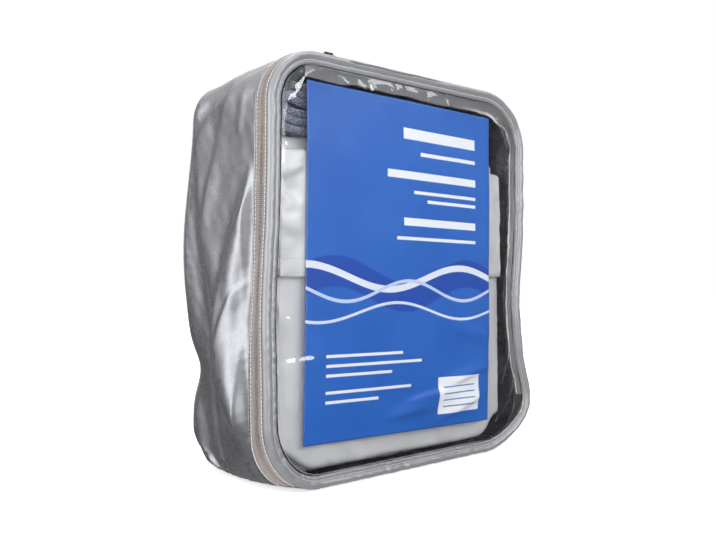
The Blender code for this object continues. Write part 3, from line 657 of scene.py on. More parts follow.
COIL_RADIUS = 0.0016
TAPE_WIDTH = 0.0066
TAPE_FRONT_Y = (FRONT_SEAM_Y + SEAM_GAP, FRONT_SEAM_Y + SEAM_GAP + TAPE_WIDTH)
COIL_Y = TAPE_FRONT_Y[1] + SEAM_GAP + COIL_RADIUS
TAPE_REAR_Y = (COIL_Y + COIL_RADIUS + SEAM_GAP, COIL_Y + COIL_RADIUS + SEAM_GAP + TAPE_WIDTH)
TAPE_SINK = 0.0004
TAPE_THICKNESS = 0.0007
TAPE_DIP = 0.0018
TAPE_DIP_REACH = 0.0009
TAPE_MEET_GAP = 0.0001
TAPE_UNDER_COIL = 0.0012
TAPE_UNDER_RISE = 0.0006
TAPE_WAVE = Ripple(0.0002, 0.018, 31, 0.004)
TAPE_CELLS = 420
TAPE_ROWS = 14
RIB_SPACING = 0.0010367
TOOTH_PITCH = 0.0015
TOOTH_LENGTH = 0.003
TOOTH_WIDTH = 0.0007
TOOTH_HEIGHT = 0.0013
TOOTH_ROUNDING = 0.0004
TOOTH_OFFSET = 0.0012
TOOTH_SINK = 0.0001
ROW_INSET = 0.002
FRAME_STEP = 0.0006


def zip_tape_finish():
    """Woven polyester tape, matt: close ribs across it and a slightly uneven grey."""
    made, tree = finish_of("woven zip tape", Roughness=0.82, Sheen_Weight=0.2)
    cloth = pattern_of(tree)
    ribs = bands_of(tree, cloth, RIB_SPACING, 0.4)
    tone = computed(tree, "MULTIPLY", ribs, noise_of(tree, cloth, 60.0, 4.0))
    colour = mixed(tree, tone, "#6d6462", "#a59c99")
    return feed(made, Base_Color=colour, Normal=bumped(tree, ribs, 0.5, 0.0003))


def mottled(name, scale, detail, dark, light, **sockets):
    """A plain material whose colour wanders a little between two tones."""
    made, tree = finish_of(name, **sockets)
    share = noise_of(tree, object_place(tree), scale, detail)
    return feed(made, Base_Color=mixed(tree, share, dark, light))


TAPE_CLOTH = zip_tape_finish()
# Nylon thread, moulded into teeth and dyed beige: smooth, with a soft shine
COIL_NYLON = mottled("beige nylon coil", 35.0, 3.0, "#a1948f", "#d6cdc9", Roughness=0.38, Coat_Weight=0.2)


def tape_station(share):
    return SEAM_LEFT + SEAM_GAP / 2.0 + (SEAM_RIGHT - SEAM_LEFT - SEAM_GAP) * share


for name, node, span in (
    ("zip_tape_front_woven", "zip_tape_front", (TAPE_FRONT_Y[0], COIL_Y - TAPE_MEET_GAP)),
    ("zip_tape_rear_woven", "zip_tape_rear", (COIL_Y + TAPE_MEET_GAP, TAPE_REAR_Y[1])),
):

    def tape_places(u, v, span=span):
        station = tape_station(u)
        y = span[0] + (span[1] - span[0]) * v
        dip = TAPE_DIP * np.exp(-(y - TAPE_FRONT_Y[0]) / TAPE_DIP_REACH)
        under = TAPE_UNDER_COIL * smooth((COIL_RADIUS - np.abs(y - COIL_Y)) / TAPE_UNDER_RISE)
        return band_points(station, y, TAPE_SINK - ripples(station, v, TAPE_WAVE) + dip + under)

    def tape_pattern(u, v, span=span):
        return np.stack((tape_station(u), v * (span[1] - span[0])), -1)

    tape = sheet_piece(name, TAPE_CELLS, TAPE_ROWS, tape_places, tape_pattern, thickness=TAPE_THICKNESS)
    dress(tape, TAPE_CLOTH, "zip_cloth", node)


def repeated(name, form, places):
    """One piece made of a small form, set at each of the places, which are matrices."""
    bm = bmesh.new()
    form_mesh = bpy.data.meshes.new(name + "_form")
    form.to_mesh(form_mesh)
    form.free()
    for place in places:
        before = len(bm.verts)
        bm.from_mesh(form_mesh)
        bm.verts.ensure_lookup_table()
        bmesh.ops.transform(bm, matrix=place, verts=bm.verts[before:])
    bpy.data.meshes.remove(form_mesh)
    return piece_of(name, bm)


def upright(point, along, out):
    """A matrix at a point whose X runs along, whose Z points out and whose Y is square to both."""
    along = Vector(along).normalized()
    side = Vector(out).cross(along).normalized()
    rows = Matrix((along, side, along.cross(side))).transposed().to_4x4()
    return Matrix.Translation(Vector(point)) @ rows


def band_frames(stations, y, inward):
    """Matrices on the bag's side: X along it, Y across it and Z out of it."""
    points = band_points(stations, y, inward)
    ahead = band_points(stations + FRAME_STEP, y, inward)
    aside = band_points(stations, y + FRAME_STEP, inward)
    frames = []
    for point, along, across in zip(points, ahead - points, aside - points):
        frames.append(upright(point, along, Vector(across).cross(Vector(along))))
    return frames


def block(bm, size, middle, rounding, segments=3):
    """A block with rounded edges, added to a mesh."""
    made = bmesh.ops.create_cube(bm, size=1.0)["verts"]
    bmesh.ops.scale(bm, vec=size, verts=made)
    bmesh.ops.translate(bm, vec=middle, verts=made)
    edges = list(dict.fromkeys(edge for vertex in made for edge in vertex.link_edges))
    bmesh.ops.bevel(
        bm, geom=edges, offset=rounding, segments=segments, affect="EDGES", profile=0.5, material=-1
    )


tooth = bmesh.new()
block(tooth, (TOOTH_WIDTH, TOOTH_LENGTH, TOOTH_HEIGHT), (0.0, 0.0, 0.0), TOOTH_ROUNDING, segments=1)
tooth_places = []
for side in (-1.0, 1.0):
    start = SEAM_LEFT + ROW_INSET + TOOTH_PITCH * (0.25 + side / 4.0)
    stations = np.arange(start, SEAM_RIGHT - ROW_INSET, TOOTH_PITCH)
    tooth_places += band_frames(stations, COIL_Y + side * TOOTH_OFFSET, TOOTH_SINK)
dress(repeated("zip_coil_teeth", tooth, tooth_places), COIL_NYLON, "zip_coil", "zip_coil")

# Front binding
# A strip of the silver polyester, folded over the raw edges of the window and the front tape and sewn
# through all of them. It makes a soft roll round the front, a ridge along its stitches and a flat flange
# inside it.

# Its section, as places (inward, forward). The front of it runs up to the fold under the flange.
BINDING_FRONT = (
    (0.0002, 0.0014), (0.0005, 0.003), (0.0014, 0.0046), (0.0026, 0.0055), (0.0038, 0.0058),
    (0.0051, 0.0054), (0.0062, 0.0045), (0.0069, 0.0034), (0.0073, 0.0027), (0.0078, 0.0031),
    (0.0084, 0.0037), (0.0091, 0.0036), (0.0098, 0.0033), (0.0104, 0.0031), (0.0107, 0.0026),
)
BINDING_SECTION = ((0.0003, 0.0), *BINDING_FRONT, (0.0107, 0.0012), (0.006, 0.0004))
BINDING_CELLS = 900
BINDING_ROWS = 44
STITCH_INWARD = 0.0073
TOP_CREASE_STARTS = (-0.08, -0.06)
TOP_CREASE_ENDS = (0.005, 0.045)
TOP_CREASE_INWARD = 0.003
TOP_CREASE_DEPTH = 0.0032
TOP_CREASE_WIDTH = 0.00055
TOP_CREASE_WANDER = Ripple(0.0006, 0.03, 45)
OVERLAP_X = -0.035
OVERLAP_DEPTH = 0.0016
OVERLAP_WIDTH = 0.0006
OVERLAP_SLANT = 0.3
OVERLAP_TO_Z = 0.02
ROLL_WAVES = (Ripple(0.00045, 0.021, 41, 0.6), Ripple(0.0002, 0.007, 42))
FLANGE_WAVE = Ripple(0.0003, 0.006, 43, 0.5)
FLANGE_STARTS = (0.006, 0.008)
BOTTOM_WAVE = Ripple(0.0005, 0.013, 44, 1.4)
BOTTOM_WAVE_TO_Z = (0.02, 0.07)
BINDING_HOLDS = (0.002, 0.004)


def binding_wrinkle(station, inward, forward):
    """Small waves along roll and flange, an open crease along the top and the line of the ends' overlap."""
    x, z = np.moveaxis(on_outline(FRONT_OUTLINE, station), -1, 0)
    low = 1.0 - risen(z, *BOTTOM_WAVE_TO_Z)
    along_top = risen(x, *TOP_CREASE_STARTS) * (1.0 - risen(x, *TOP_CREASE_ENDS)) * (z > BAG_HEIGHT / 2.0)
    middle = TOP_CREASE_INWARD + ripples(x, 0.0, TOP_CREASE_WANDER)
    crease = TOP_CREASE_DEPTH * along_top * np.exp(-(((inward - middle) / TOP_CREASE_WIDTH) ** 2))
    roll = ripples(station, inward, *ROLL_WAVES, lap=ROUND_LENGTH)
    flange = ripples(station, inward, FLANGE_WAVE, lap=ROUND_LENGTH) * risen(inward, *FLANGE_STARTS)
    bottom = low * ripples(station, inward, BOTTOM_WAVE, lap=ROUND_LENGTH)
    from_overlap = (x - OVERLAP_X - OVERLAP_SLANT * inward) / OVERLAP_WIDTH
    overlap = OVERLAP_DEPTH * np.exp(-(from_overlap**2)) * (z < OVERLAP_TO_Z)
    waves = (roll + flange + bottom - overlap) * smooth(forward / BINDING_HOLDS[0])
    return waves - crease * smooth(forward / BINDING_HOLDS[1])


binding_forms = ring_section(BINDING_SECTION, FRONT_SEAM_Y, binding_wrinkle)
front_binding = sheet_piece(
    "front_binding_roll", BINDING_CELLS, BINDING_ROWS, *binding_forms, closed=True, solid=True
)
BINDING_CLOTH = silver_polyester("silver polyester binding", "#a3a4a7", "#8e8f93", 0.5, 0.36)
dress(front_binding, BINDING_CLOTH, "binding_cloth", "front_binding")

# Seam allowance
# Inside the front seam the raw edges of the cloth and the tape stand back into the bag, as a strip whose cut
# edge is wavy. It shows through the window along the top and the right side.

ALLOWANCE_CELLS = 420
ALLOWANCE_ROWS = 10
ALLOWANCE_WIDTH = 0.011
ALLOWANCE_SIDE_SHARE = 0.5
ALLOWANCE_INWARD = 0.01
ALLOWANCE_BEHIND = 0.0004
ALLOWANCE_THICKNESS = 0.0005
ALLOWANCE_TOP_TILT = 25.0
ALLOWANCE_SIDE_TILT = 72.0
ALLOWANCE_TOP_Z = (0.325, 0.345)
ALLOWANCE_UNEVEN = Ripple(0.1, 0.06, 46)
ALLOWANCE_WAVES = (Ripple(0.0008, 0.019, 47, 0.006), Ripple(0.0003, 0.007, 48, 0.004))
ALLOWANCE_START = station_of("top", -0.116)
ALLOWANCE_END = station_of("right", 0.05)
# Where the painted highlight lies on the strip: its band in from the cut edge, and where it begins along the
# strip
EDGE_HIGHLIGHT_WIDTHS = (ALLOWANCE_WIDTH * 0.72, ALLOWANCE_WIDTH * 0.8)
EDGE_HIGHLIGHT_STARTS = (0.17, 0.23)


def allowance_places(u, v):
    """The strip hangs into the window along the top and stands back into the bag along the right side."""
    station = ALLOWANCE_START + (ALLOWANCE_END - ALLOWANCE_START) * u
    high = risen(on_outline(FRONT_OUTLINE, station)[..., 1], *ALLOWANCE_TOP_Z)
    tilt = np.radians(ALLOWANCE_SIDE_TILT + (ALLOWANCE_TOP_TILT - ALLOWANCE_SIDE_TILT) * high)
    share = ALLOWANCE_SIDE_SHARE + (1.0 - ALLOWANCE_SIDE_SHARE) * high
    width = ALLOWANCE_WIDTH * share * v * (1.0 + ripples(station, 0.0, ALLOWANCE_UNEVEN))
    wave = ripples(station, v, *ALLOWANCE_WAVES) * smooth(v)
    inward = ALLOWANCE_INWARD + width * np.cos(tilt) + wave * np.sin(tilt)
    spots = band_points(station, FRONT_SEAM_Y, inward, creased=False)
    spots[:, 1] += ALLOWANCE_BEHIND + width * np.sin(tilt) + np.abs(wave) * np.cos(tilt)
    return spots


def raw_edge_highlight_finish():
    """The silver polyester again, with a painted highlight down the right side: near its cut edge it is
    painted near white and made less metallic.
    """
    made = silver_polyester("silver polyester raw edge, painted highlight", "#a3a2a2", "#8d8c8c", 0.25, 0.48)
    tree = made.node_tree
    parts = add_node(tree, "ShaderNodeSeparateXYZ", {0: pattern_of(tree)})
    # The painted highlight: near_edge is its band in from the cut edge, and cut is its part down the right
    # side
    near_edge = ranged(tree, parts.outputs["Y"], 0.0, 1.0, *EDGE_HIGHLIGHT_WIDTHS)
    cut = computed(tree, "MULTIPLY", near_edge, ranged(tree, parts.outputs["X"], 0.0, 1.0, *EDGE_HIGHLIGHT_STARTS))
    coated = tree.nodes["Principled BSDF"].inputs["Base Color"].links[0].from_socket
    return feed(made, Base_Color=mixed(tree, cut, coated, "#f4f0ec"), Metallic=ranged(tree, cut, 0.25, 0.0))


seam_allowance = sheet_piece(
    "front_seam_allowance",
    ALLOWANCE_CELLS,
    ALLOWANCE_ROWS,
    allowance_places,
    lambda u, v: np.stack((u * (ALLOWANCE_END - ALLOWANCE_START), v * ALLOWANCE_WIDTH), -1),
    thickness=ALLOWANCE_THICKNESS,
)
dress(seam_allowance, raw_edge_highlight_finish(), "silver_cloth")

# Stitches
# Grey polyester thread, a lock stitch every 3.2 mm along the groove of the binding and on both zip tapes.

STITCH_LENGTH = 0.0024
STITCH_PITCH = 0.0032
STITCH_RADIUS = 0.00038
STITCH_SIDES = 6
HEADING_STEP = 0.0008
ZIP_STITCH_INSETS = (0.0016, 0.0014)

# Twisted polyester thread, slightly glossy. Its pale grey is partly the thread's own and partly a painted
# highlight, lightened to stand for the bright line along the binding's stitches
THREAD_PAINTED_PALE = mottled("grey polyester thread, painted highlight", 300.0, 2.0, "#b5b6bb", "#eeeef1", Roughness=0.5, Sheen_Weight=0.3)


def stitch_row(name, frames, slot):
    form = bmesh.new()
    bmesh.ops.create_cone(
        form,
        cap_ends=True,
        segments=STITCH_SIDES,
        radius1=STITCH_RADIUS,
        radius2=STITCH_RADIUS,
        depth=STITCH_LENGTH,
        matrix=Matrix.Rotation(math.pi / 2.0, 4, "Y"),
    )
    return dress(repeated(name, form, frames), THREAD_PAINTED_PALE, slot)


def binding_surface(station, inward):
    """Points on the binding's front, at stations and at one distance in from the outline."""
    inward = np.full(station.shape, inward)
    forward = np.interp(inward, *np.array(BINDING_FRONT).T)
    spots = band_points(station, FRONT_SEAM_Y, inward, creased=False)
    spots[:, 1] -= forward + binding_wrinkle(station, inward, forward)
    return spots


stations = np.arange(0.0, ROUND_LENGTH - STITCH_PITCH / 2.0, STITCH_PITCH)
groove = binding_surface(stations, STITCH_INWARD)
headings = binding_surface(stations + HEADING_STEP, STITCH_INWARD) - groove
groove_frames = [upright(point, along, (0.0, -1.0, 0.0)) for point, along in zip(groove, headings)]
stitch_row("binding_stitches", groove_frames, "binding_cloth")
for name, edge_y in (
    ("zip_front_stitches", TAPE_FRONT_Y[0] + ZIP_STITCH_INSETS[0]),
    ("zip_rear_stitches", TAPE_REAR_Y[1] - ZIP_STITCH_INSETS[1]),
):
    stations = np.arange(SEAM_LEFT + ROW_INSET, SEAM_RIGHT - ROW_INSET, STITCH_PITCH)
    stitch_row(name, band_frames(stations, edge_y, TAPE_SINK - STITCH_RADIUS / 2.0), "zip_cloth")

# Zip slider and pull
# Die-cast zinc slider with a black baked coat. Its bridge holds a flat stamped pull, which lies back on the
# gusset.

SLIDER_X = -0.085
COIL_SINK = 0.0007
SLIDER_LENGTH = 0.01
SLIDER_WIDTH = 0.008
SLIDER_HEIGHT = 0.0018
BRIDGE_HEIGHT = 0.0026
BRIDGE_WIDTH = 0.0028
BRIDGE_BAR = 0.001
SLIDER_ROUNDING = 0.0007
POST_ROUNDING = 0.0003
BRIDGE_ROUNDING = 0.00045
PULLER_LENGTH = 0.016
PULLER_WIDTH = 0.0048
PULLER_THICKNESS = 0.001
PULLER_ROUNDING = 0.00025
PULLER_FLAT = 0.34
PULLER_ENDS = (0.08, 0.88)
PULLER_END_SHARE = 0.3
WAIST_DEPTH = 0.22
WAIST_PLACE = 0.45
WAIST_REACH = 0.2


def black_metal_finish():
    """Zinc with a baked black coat: semi-gloss, a little orange peel, worn towards grey in random patches.
    """
    made, tree = finish_of("black coated zinc", Metallic=0.3, Coat_Weight=0.4, Coat_Roughness=0.2)
    worn = noise_of(tree, object_place(tree), 900.0, 4.0)
    return feed(
        made,
        Base_Color=mixed(tree, worn, "#101012", "#2e2e31"),
        Roughness=ranged(tree, worn, 0.25, 0.5),
        Normal=bumped(tree, worn, 0.1, 0.0002),
    )


SLIDER_METAL = black_metal_finish()
slider_station = np.array([station_of("top", SLIDER_X)])
slider_seat = band_points(slider_station, COIL_Y, COIL_SINK - COIL_RADIUS)[0][2] + SEAM_GAP
slider_top = slider_seat + SLIDER_HEIGHT

slider = bmesh.new()
slider_size = (SLIDER_LENGTH, SLIDER_WIDTH, SLIDER_HEIGHT)
block(slider, slider_size, (SLIDER_X, COIL_Y, slider_seat + SLIDER_HEIGHT / 2.0), SLIDER_ROUNDING)
for side in (-1.0, 1.0):
    post_x = SLIDER_X + side * (SLIDER_LENGTH / 2.0 - 1.5 * BRIDGE_BAR)
    post_size = (BRIDGE_BAR, BRIDGE_WIDTH, BRIDGE_HEIGHT)
    block(slider, post_size, (post_x, COIL_Y, slider_top + BRIDGE_HEIGHT / 2.0), POST_ROUNDING)
bridge_size = (SLIDER_LENGTH - 2.0 * BRIDGE_BAR, BRIDGE_WIDTH, BRIDGE_BAR)
bridge_z = slider_top + BRIDGE_HEIGHT - BRIDGE_BAR / 2.0
block(slider, bridge_size, (SLIDER_X, COIL_Y, bridge_z), BRIDGE_ROUNDING)
dress(piece_of("zip_slider_cast", slider), SLIDER_METAL, "zip_metal", "zip_slider")

pull_start = COIL_Y - BRIDGE_WIDTH
pull_z = slider_top + SEAM_GAP
pull_end_z = band_points(slider_station, pull_start + PULLER_LENGTH)[0][2] + SEAM_GAP
puller = bmesh.new()
bmesh.ops.create_grid(puller, x_segments=8, y_segments=24, size=0.5)
for vertex in puller.verts:
    share = vertex.co.y + 0.5
    waist = 1.0 - WAIST_DEPTH * math.exp(-(((share - WAIST_PLACE) / WAIST_REACH) ** 2))
    past_end = max((share - PULLER_ENDS[1]) / (1.0 - PULLER_ENDS[1]), 1.0 - share / PULLER_ENDS[0], 0.0)
    end = math.sqrt(max(1.0 - past_end**2, PULLER_END_SHARE**2))
    drop = float(smooth(np.array((share - PULLER_FLAT) / (1.0 - PULLER_FLAT))))
    x = SLIDER_X + vertex.co.x * PULLER_WIDTH * waist * end
    vertex.co = (x, pull_start + PULLER_LENGTH * share, pull_z + (pull_end_z - pull_z) * drop)
bmesh.ops.recalc_face_normals(puller, faces=puller.faces[:])
if sum(face.normal.z for face in puller.faces) < 0.0:
    bmesh.ops.reverse_faces(puller, faces=puller.faces[:])
zip_puller = piece_of("zip_puller_stamped", puller)
wall = zip_puller.modifiers.new("thickness", "SOLIDIFY")
wall.thickness = PULLER_THICKNESS
wall.offset = 1.0
soft_edge = zip_puller.modifiers.new("edges", "BEVEL")
soft_edge.width = PULLER_ROUNDING
soft_edge.segments = 2
dress(zip_puller, SLIDER_METAL, "zip_metal", "zip_puller")

# Front window
# Clear soft PVC film, 0.4 mm, sewn in under the flange. What fills the bag domes it, and it keeps the waves,
# pulls and sharp little creases from being packed flat.

WINDOW_SEAM_Y = -0.0728
WINDOW_DOME = 0.0065
WINDOW_SHEET = 0.0004
WINDOW_RINGS = 100
WINDOW_CELLS = 480
FILM_WAVES = (Ripple(0.001, 0.09, 51, 0.6), Ripple(0.00035, 0.032, 52))
RIM_WAVE = Ripple(0.0009, 0.016, 53, 0.5)
RIM_REACH = 0.011
COCKLED = Ripple(0.9, 0.11, 54)
COCKLES = Ripple(0.0005, 0.0062, 55, 1.3)
COCKLE_REACH = 0.008
RIM_FADE = 0.0045
CALM_PLACE = (-0.124, 0.324)
CALM_REACH = 0.02
CALM_SHARE = 0.9

# Pulls and creases of the film, as places (x, z) on it. out is positive towards the front.
Pull = namedtuple("Pull", "x z to_x to_z bow out width lean")
PULLS = (
    Pull(-0.104, 0.354, -0.14, 0.294, 0.004, 0.003, 0.011, 0.0),
    Pull(-0.1, 0.344, -0.109, 0.334, -0.002, 0.0009, 0.0035, 0.0),
    Pull(-0.144, 0.338, -0.138, 0.28, 0.0015, 0.0014, 0.0026, 0.0),
    Pull(-0.14, 0.318, -0.133, 0.302, 0.0, 0.0008, 0.002, 0.0),
    Pull(-0.142, 0.1, -0.09, 0.1035, 0.001, 0.0026, 0.0046, 0.0),
    Pull(-0.14, 0.134, -0.108, 0.1375, 0.0, 0.002, 0.0038, 0.0),
    Pull(-0.048, 0.344, -0.043, 0.325, 0.0, 0.0011, 0.003, 0.0),
    Pull(-0.026, 0.343, -0.022, 0.329, 0.0, 0.0011, 0.0028, 0.0),
    Pull(0.001, 0.343, 0.003, 0.33, 0.0, 0.0009, 0.0026, 0.0),
    Pull(0.108, 0.336, 0.127, 0.296, -0.005, 0.0016, 0.0035, 0.2),
    Pull(0.116, 0.33, 0.13, 0.296, 0.003, -0.0012, 0.0028, 0.0),
    Pull(0.126, 0.3, 0.128, 0.045, 0.006, 0.002, 0.0036, 0.3),
    Pull(0.133, 0.27, 0.134, 0.08, -0.002, -0.0014, 0.0026, 0.0),
    Pull(-0.14, 0.05, -0.126, 0.02, 0.004, 0.001, 0.0024, 0.0),
    Pull(-0.134, 0.042, -0.118, 0.021, 0.0, -0.001, 0.002, 0.0),
    Pull(-0.12, 0.018, -0.04, 0.015, -0.0015, 0.0013, 0.003, 0.0),
    Pull(-0.07, 0.02, 0.02, 0.016, 0.0015, 0.0012, 0.0026, 0.0),
    Pull(0.01, 0.015, 0.11, 0.023, -0.003, 0.0016, 0.0036, 0.0),
    Pull(0.108, 0.056, 0.133, 0.104, 0.003, 0.0018, 0.0034, 0.2),
    Pull(0.118, 0.04, 0.134, 0.076, -0.002, 0.0016, 0.0028, 0.0),
    Pull(0.096, 0.022, 0.126, 0.047, 0.002, 0.0018, 0.0032, 0.2),
    Pull(0.124, 0.086, 0.134, 0.124, 0.0, 0.0012, 0.0022, 0.0),
    Pull(0.112, 0.03, 0.13, 0.04, 0.0, 0.0012, 0.0022, 0.0),
)


def pulled(pulls, x, z):
    """How far forward the pulls move places (x, z), all together."""
    out = np.zeros(x.shape)
    for pull in pulls:
        line = bowed((pull.x, pull.z), (pull.to_x, pull.to_z), pull.bow)
        out = out + pull.out * fold_depth(line, pull.width, pull.lean, np.stack((x, z), -1))
    return out


def window_spots(u, v):
    return panel_spots(u, v, FRONT_SEAM_Y, WINDOW_INSET)


def window_places(u, v):
    """The domed film, with waves and pulls all over it and cockles along its seam, but for a calm corner."""
    x, z = window_spots(u, v).T
    edge = v * PANEL_REACH
    around = u * ROUND_LENGTH
    rim = ripples(around, edge, RIM_WAVE, lap=ROUND_LENGTH) * np.exp(-edge / RIM_REACH)
    cockled = smooth(0.5 + ripples(around, 0.0, COCKLED, lap=ROUND_LENGTH)) * np.exp(-edge / COCKLE_REACH)
    rim = rim + cockled * ripples(around, edge, COCKLES, lap=ROUND_LENGTH)
    from_calm = np.hypot(x - CALM_PLACE[0], z - CALM_PLACE[1]) / CALM_REACH
    rim = rim * (1.0 - CALM_SHARE * np.exp(-(from_calm**2)))
    out = WINDOW_DOME * dome(x, z) + pulled(PULLS, x, z) + ripples(x, z, *FILM_WAVES) + rim
    return np.stack((x, WINDOW_SEAM_Y - out * smooth(edge / RIM_FADE), z), -1)


def clear_film_finish():
    """Plasticised PVC film, calendered: clear, wet-looking gloss, faint waves that bend the reflections."""
    clear = {"Base_Color": linear("#fbfcfd"), "Transmission_Weight": 1.0}
    made, tree = finish_of("clear soft PVC film", Roughness=0.035, IOR=1.53, **clear)
    waves = noise_of(tree, pattern_of(tree), 38.0, 1.0, Distortion=0.8)
    return feed(made, Normal=bumped(tree, waves, 0.06, 0.0008))


window = sheet_piece(
    "window_film",
    WINDOW_CELLS,
    WINDOW_RINGS,
    window_places,
    window_spots,
    thickness=WINDOW_SHEET,
    closed=True,
)
window.visible_shadow = False
dress(window, clear_film_finish(), "clear_film", "window")

# Insert card
# An A4 card of coated board, offset printed in blue, that lies between the cover and the window. Packing has
# crumpled it a little at the lower right. The print is a plain design of stripes and waves.

CARD_WIDTH = 0.21
CARD_HEIGHT = 0.297
CARD_SHEET = 0.0005
CARD_CENTRE_X = -0.0063
CARD_CENTRE_Z = 0.1816
CARD_TURN = math.radians(1.0)
CARD_Y = -0.0676
CARD_SLOPE_X = -0.018
CARD_SLOPE_Z = 0.009
CARD_BOW = 0.004
CARD_GAP_IN_FRONT = 0.0008
CARD_WAVE = Ripple(0.0005, 0.08, 61)
CARD_COLUMNS = 120
CARD_ROWS = 170
CARD_FOLDS = (
    Pull(0.03, 0.066, 0.104, 0.085, 0.002, 0.0032, 0.006, 0.4),
    Pull(-0.02, 0.056, 0.074, 0.064, 0.003, 0.003, 0.007, -0.4),
    Pull(0.02, 0.038, 0.1, 0.064, -0.003, 0.0028, 0.0055, 0.4),
    Pull(-0.04, 0.047, 0.035, 0.054, 0.0, 0.0022, 0.005, 0.3),
    Pull(0.045, 0.126, 0.104, 0.11, 0.0, 0.0016, 0.008, 0.0),
)


def card_front(x, z):
    """Depth of the card's front face, which leans back to the top left and bows forward in the middle."""
    flat = CARD_Y + CARD_SLOPE_X * (x - CARD_CENTRE_X) + CARD_SLOPE_Z * (z - CARD_CENTRE_Z)
    return flat - CARD_BOW * dome(x, z)


def card_places(u, v):
    side = (u - 0.5) * CARD_WIDTH
    up = (v - 0.5) * CARD_HEIGHT
    x = CARD_CENTRE_X + side * math.cos(CARD_TURN) + up * math.sin(CARD_TURN)
    z = CARD_CENTRE_Z - side * math.sin(CARD_TURN) + up * math.cos(CARD_TURN)
    out = CARD_GAP_IN_FRONT + ripples(x, z, CARD_WAVE) + pulled(CARD_FOLDS, x, z)
    return np.stack((x, card_front(x, z) - np.maximum(out, 0.0), z), -1)


# The print, in metres from the card's lower left corner
Stripe = namedtuple("Stripe", "x to_x z to_z")
STRIPES = (
    Stripe(0.1, 0.19, 0.262, 0.272),
    Stripe(0.12, 0.19, 0.248, 0.2515),
    Stripe(0.082, 0.19, 0.226, 0.233),
    Stripe(0.112, 0.19, 0.213, 0.216),
    Stripe(0.128, 0.19, 0.2055, 0.2085),
    Stripe(0.1, 0.19, 0.184, 0.191),
    Stripe(0.092, 0.19, 0.171, 0.174),
    Stripe(0.02, 0.1, 0.07, 0.0725),
    Stripe(0.02, 0.122, 0.062, 0.0645),
    Stripe(0.02, 0.088, 0.054, 0.0565),
    Stripe(0.02, 0.11, 0.04, 0.0425),
    Stripe(0.02, 0.074, 0.032, 0.0345),
)
PANEL = Stripe(0.143, 0.196, 0.012, 0.046)
PANEL_RULES = [Stripe(0.149, 0.19, 0.018 + 0.006 * row, 0.0192 + 0.006 * row) for row in range(4)]
INKS = [(stripe, "#f1f4f8") for stripe in STRIPES] + [(PANEL, "#f3f5f7")]
INKS += [(rule, "#5d82c4") for rule in PANEL_RULES]
Wave = namedtuple("Wave", "z height length shift width colour")
WAVES = (
    Wave(0.118, 0.011, 0.15, 0.4, 0.026, "#244fae"),
    Wave(0.134, 0.01, 0.17, 1.6, 0.006, "#e9eff8"),
    Wave(0.124, 0.009, 0.135, 2.9, 0.003, "#c7d8f2"),
    Wave(0.106, 0.008, 0.16, 4.2, 0.0025, "#dbe6f6"),
)


def within(tree, value, low, high):
    above = computed(tree, "GREATER_THAN", value, low)
    return computed(tree, "MULTIPLY", above, computed(tree, "LESS_THAN", value, high))


def card_print_finish():
    """Coated board, offset printed and varnished: satin, with the slight mottle of a large solid blue."""
    made, tree = finish_of("offset printed board", Roughness=0.34, Coat_Weight=0.25, Coat_Roughness=0.25)
    place = pattern_of(tree)
    parts = add_node(tree, "ShaderNodeSeparateXYZ", {0: place})
    x, z = parts.outputs["X"], parts.outputs["Y"]
    colour = mixed(tree, noise_of(tree, place, 18.0, 6.0), "#215bb6", "#3572ca")
    for wave in WAVES:
        turn = computed(tree, "MULTIPLY", x, 2.0 * math.pi / wave.length)
        swing = computed(tree, "SINE", computed(tree, "ADD", turn, wave.shift), 0.0)
        level = computed(tree, "SUBTRACT", z, computed(tree, "MULTIPLY", swing, wave.height))
        colour = mixed(tree, within(tree, level, wave.z, wave.z + wave.width), colour, wave.colour)
    for area, ink in INKS:
        across = within(tree, x, area.x, area.to_x)
        mask = computed(tree, "MULTIPLY", across, within(tree, z, area.z, area.to_z))
        colour = mixed(tree, mask, colour, ink)
    fibre = noise_of(tree, place, 700.0, 3.0)
    return feed(made, Base_Color=colour, Normal=bumped(tree, fibre, 0.06, 0.0002))


insert_card = sheet_piece(
    "insert_card_print",
    CARD_COLUMNS,
    CARD_ROWS,
    card_places,
    lambda u, v: np.stack((u * CARD_WIDTH, v * CARD_HEIGHT), -1),
    thickness=CARD_SHEET,
)
dress(insert_card, card_print_finish(), "card_print", "insert_card")

# Folded cover
# The boat cover itself: silver-coated polyester, lighter than the bag's, folded back and forth into packs of
# about a dozen plies. The front layer ends in a stitched hem half way up, with the packs' folds above it.

COVER_LEFT = -0.133
COVER_RIGHT = 0.127
COVER_FRONT_Y = -0.0696
COVER_BACK_Y = 0.0664
COVER_TOP_Z = 0.338
HEM_THICKNESS = 0.003
PACK_THICKNESS = 0.0062
HEM_Z = 0.1712
HEM_SEAMS = (0.0035, 0.015)
TOP_FOLDS_Z = (0.2765, 0.288, 0.288, 0.333, 0.338, 0.3365, 0.334, 0.328, 0.316)
BOTTOM_FOLDS_Z = (0.012, 0.006, 0.0018, 0.003, 0.0018, 0.0026, 0.0018, 0.004, 0.0018)
LAYER_STEPS = 8
FRONT_LAYERS = 3
FRONT_LAYER_STEPS = 44
FOLD_STEPS = 8
COVER_COLUMNS = 110
CORNER_LIFT = 0.019
CORNER_REACH = 0.036
CORNER_LIFT_HEIGHT = 0.12
WAVE_HEIGHT = 0.001
WAVE_PER_X = 31.0
WAVE_PER_Y = 160.0
WAVE_Z = (0.2, 0.28)
BACK_FILL = 0.9
CARD_GAP = 0.0013
RIGHT_TURN = 0.008
RIGHT_TURN_X = 0.096
FRONT_REACH = 0.07
CLOTH_CRUMPLES = (Ripple(0.0007, 0.03, 71), Ripple(0.0004, 0.013, 72))
CREST_WAVE = Ripple(0.0007, 0.045, 73, 4.0)
CREST_Z = (0.24, 0.27)
SHOWS_BESIDE = (-0.002, 0.006)
SHOWS_BELOW = (-0.004, 0.006)
HEM_MARGIN = 0.004

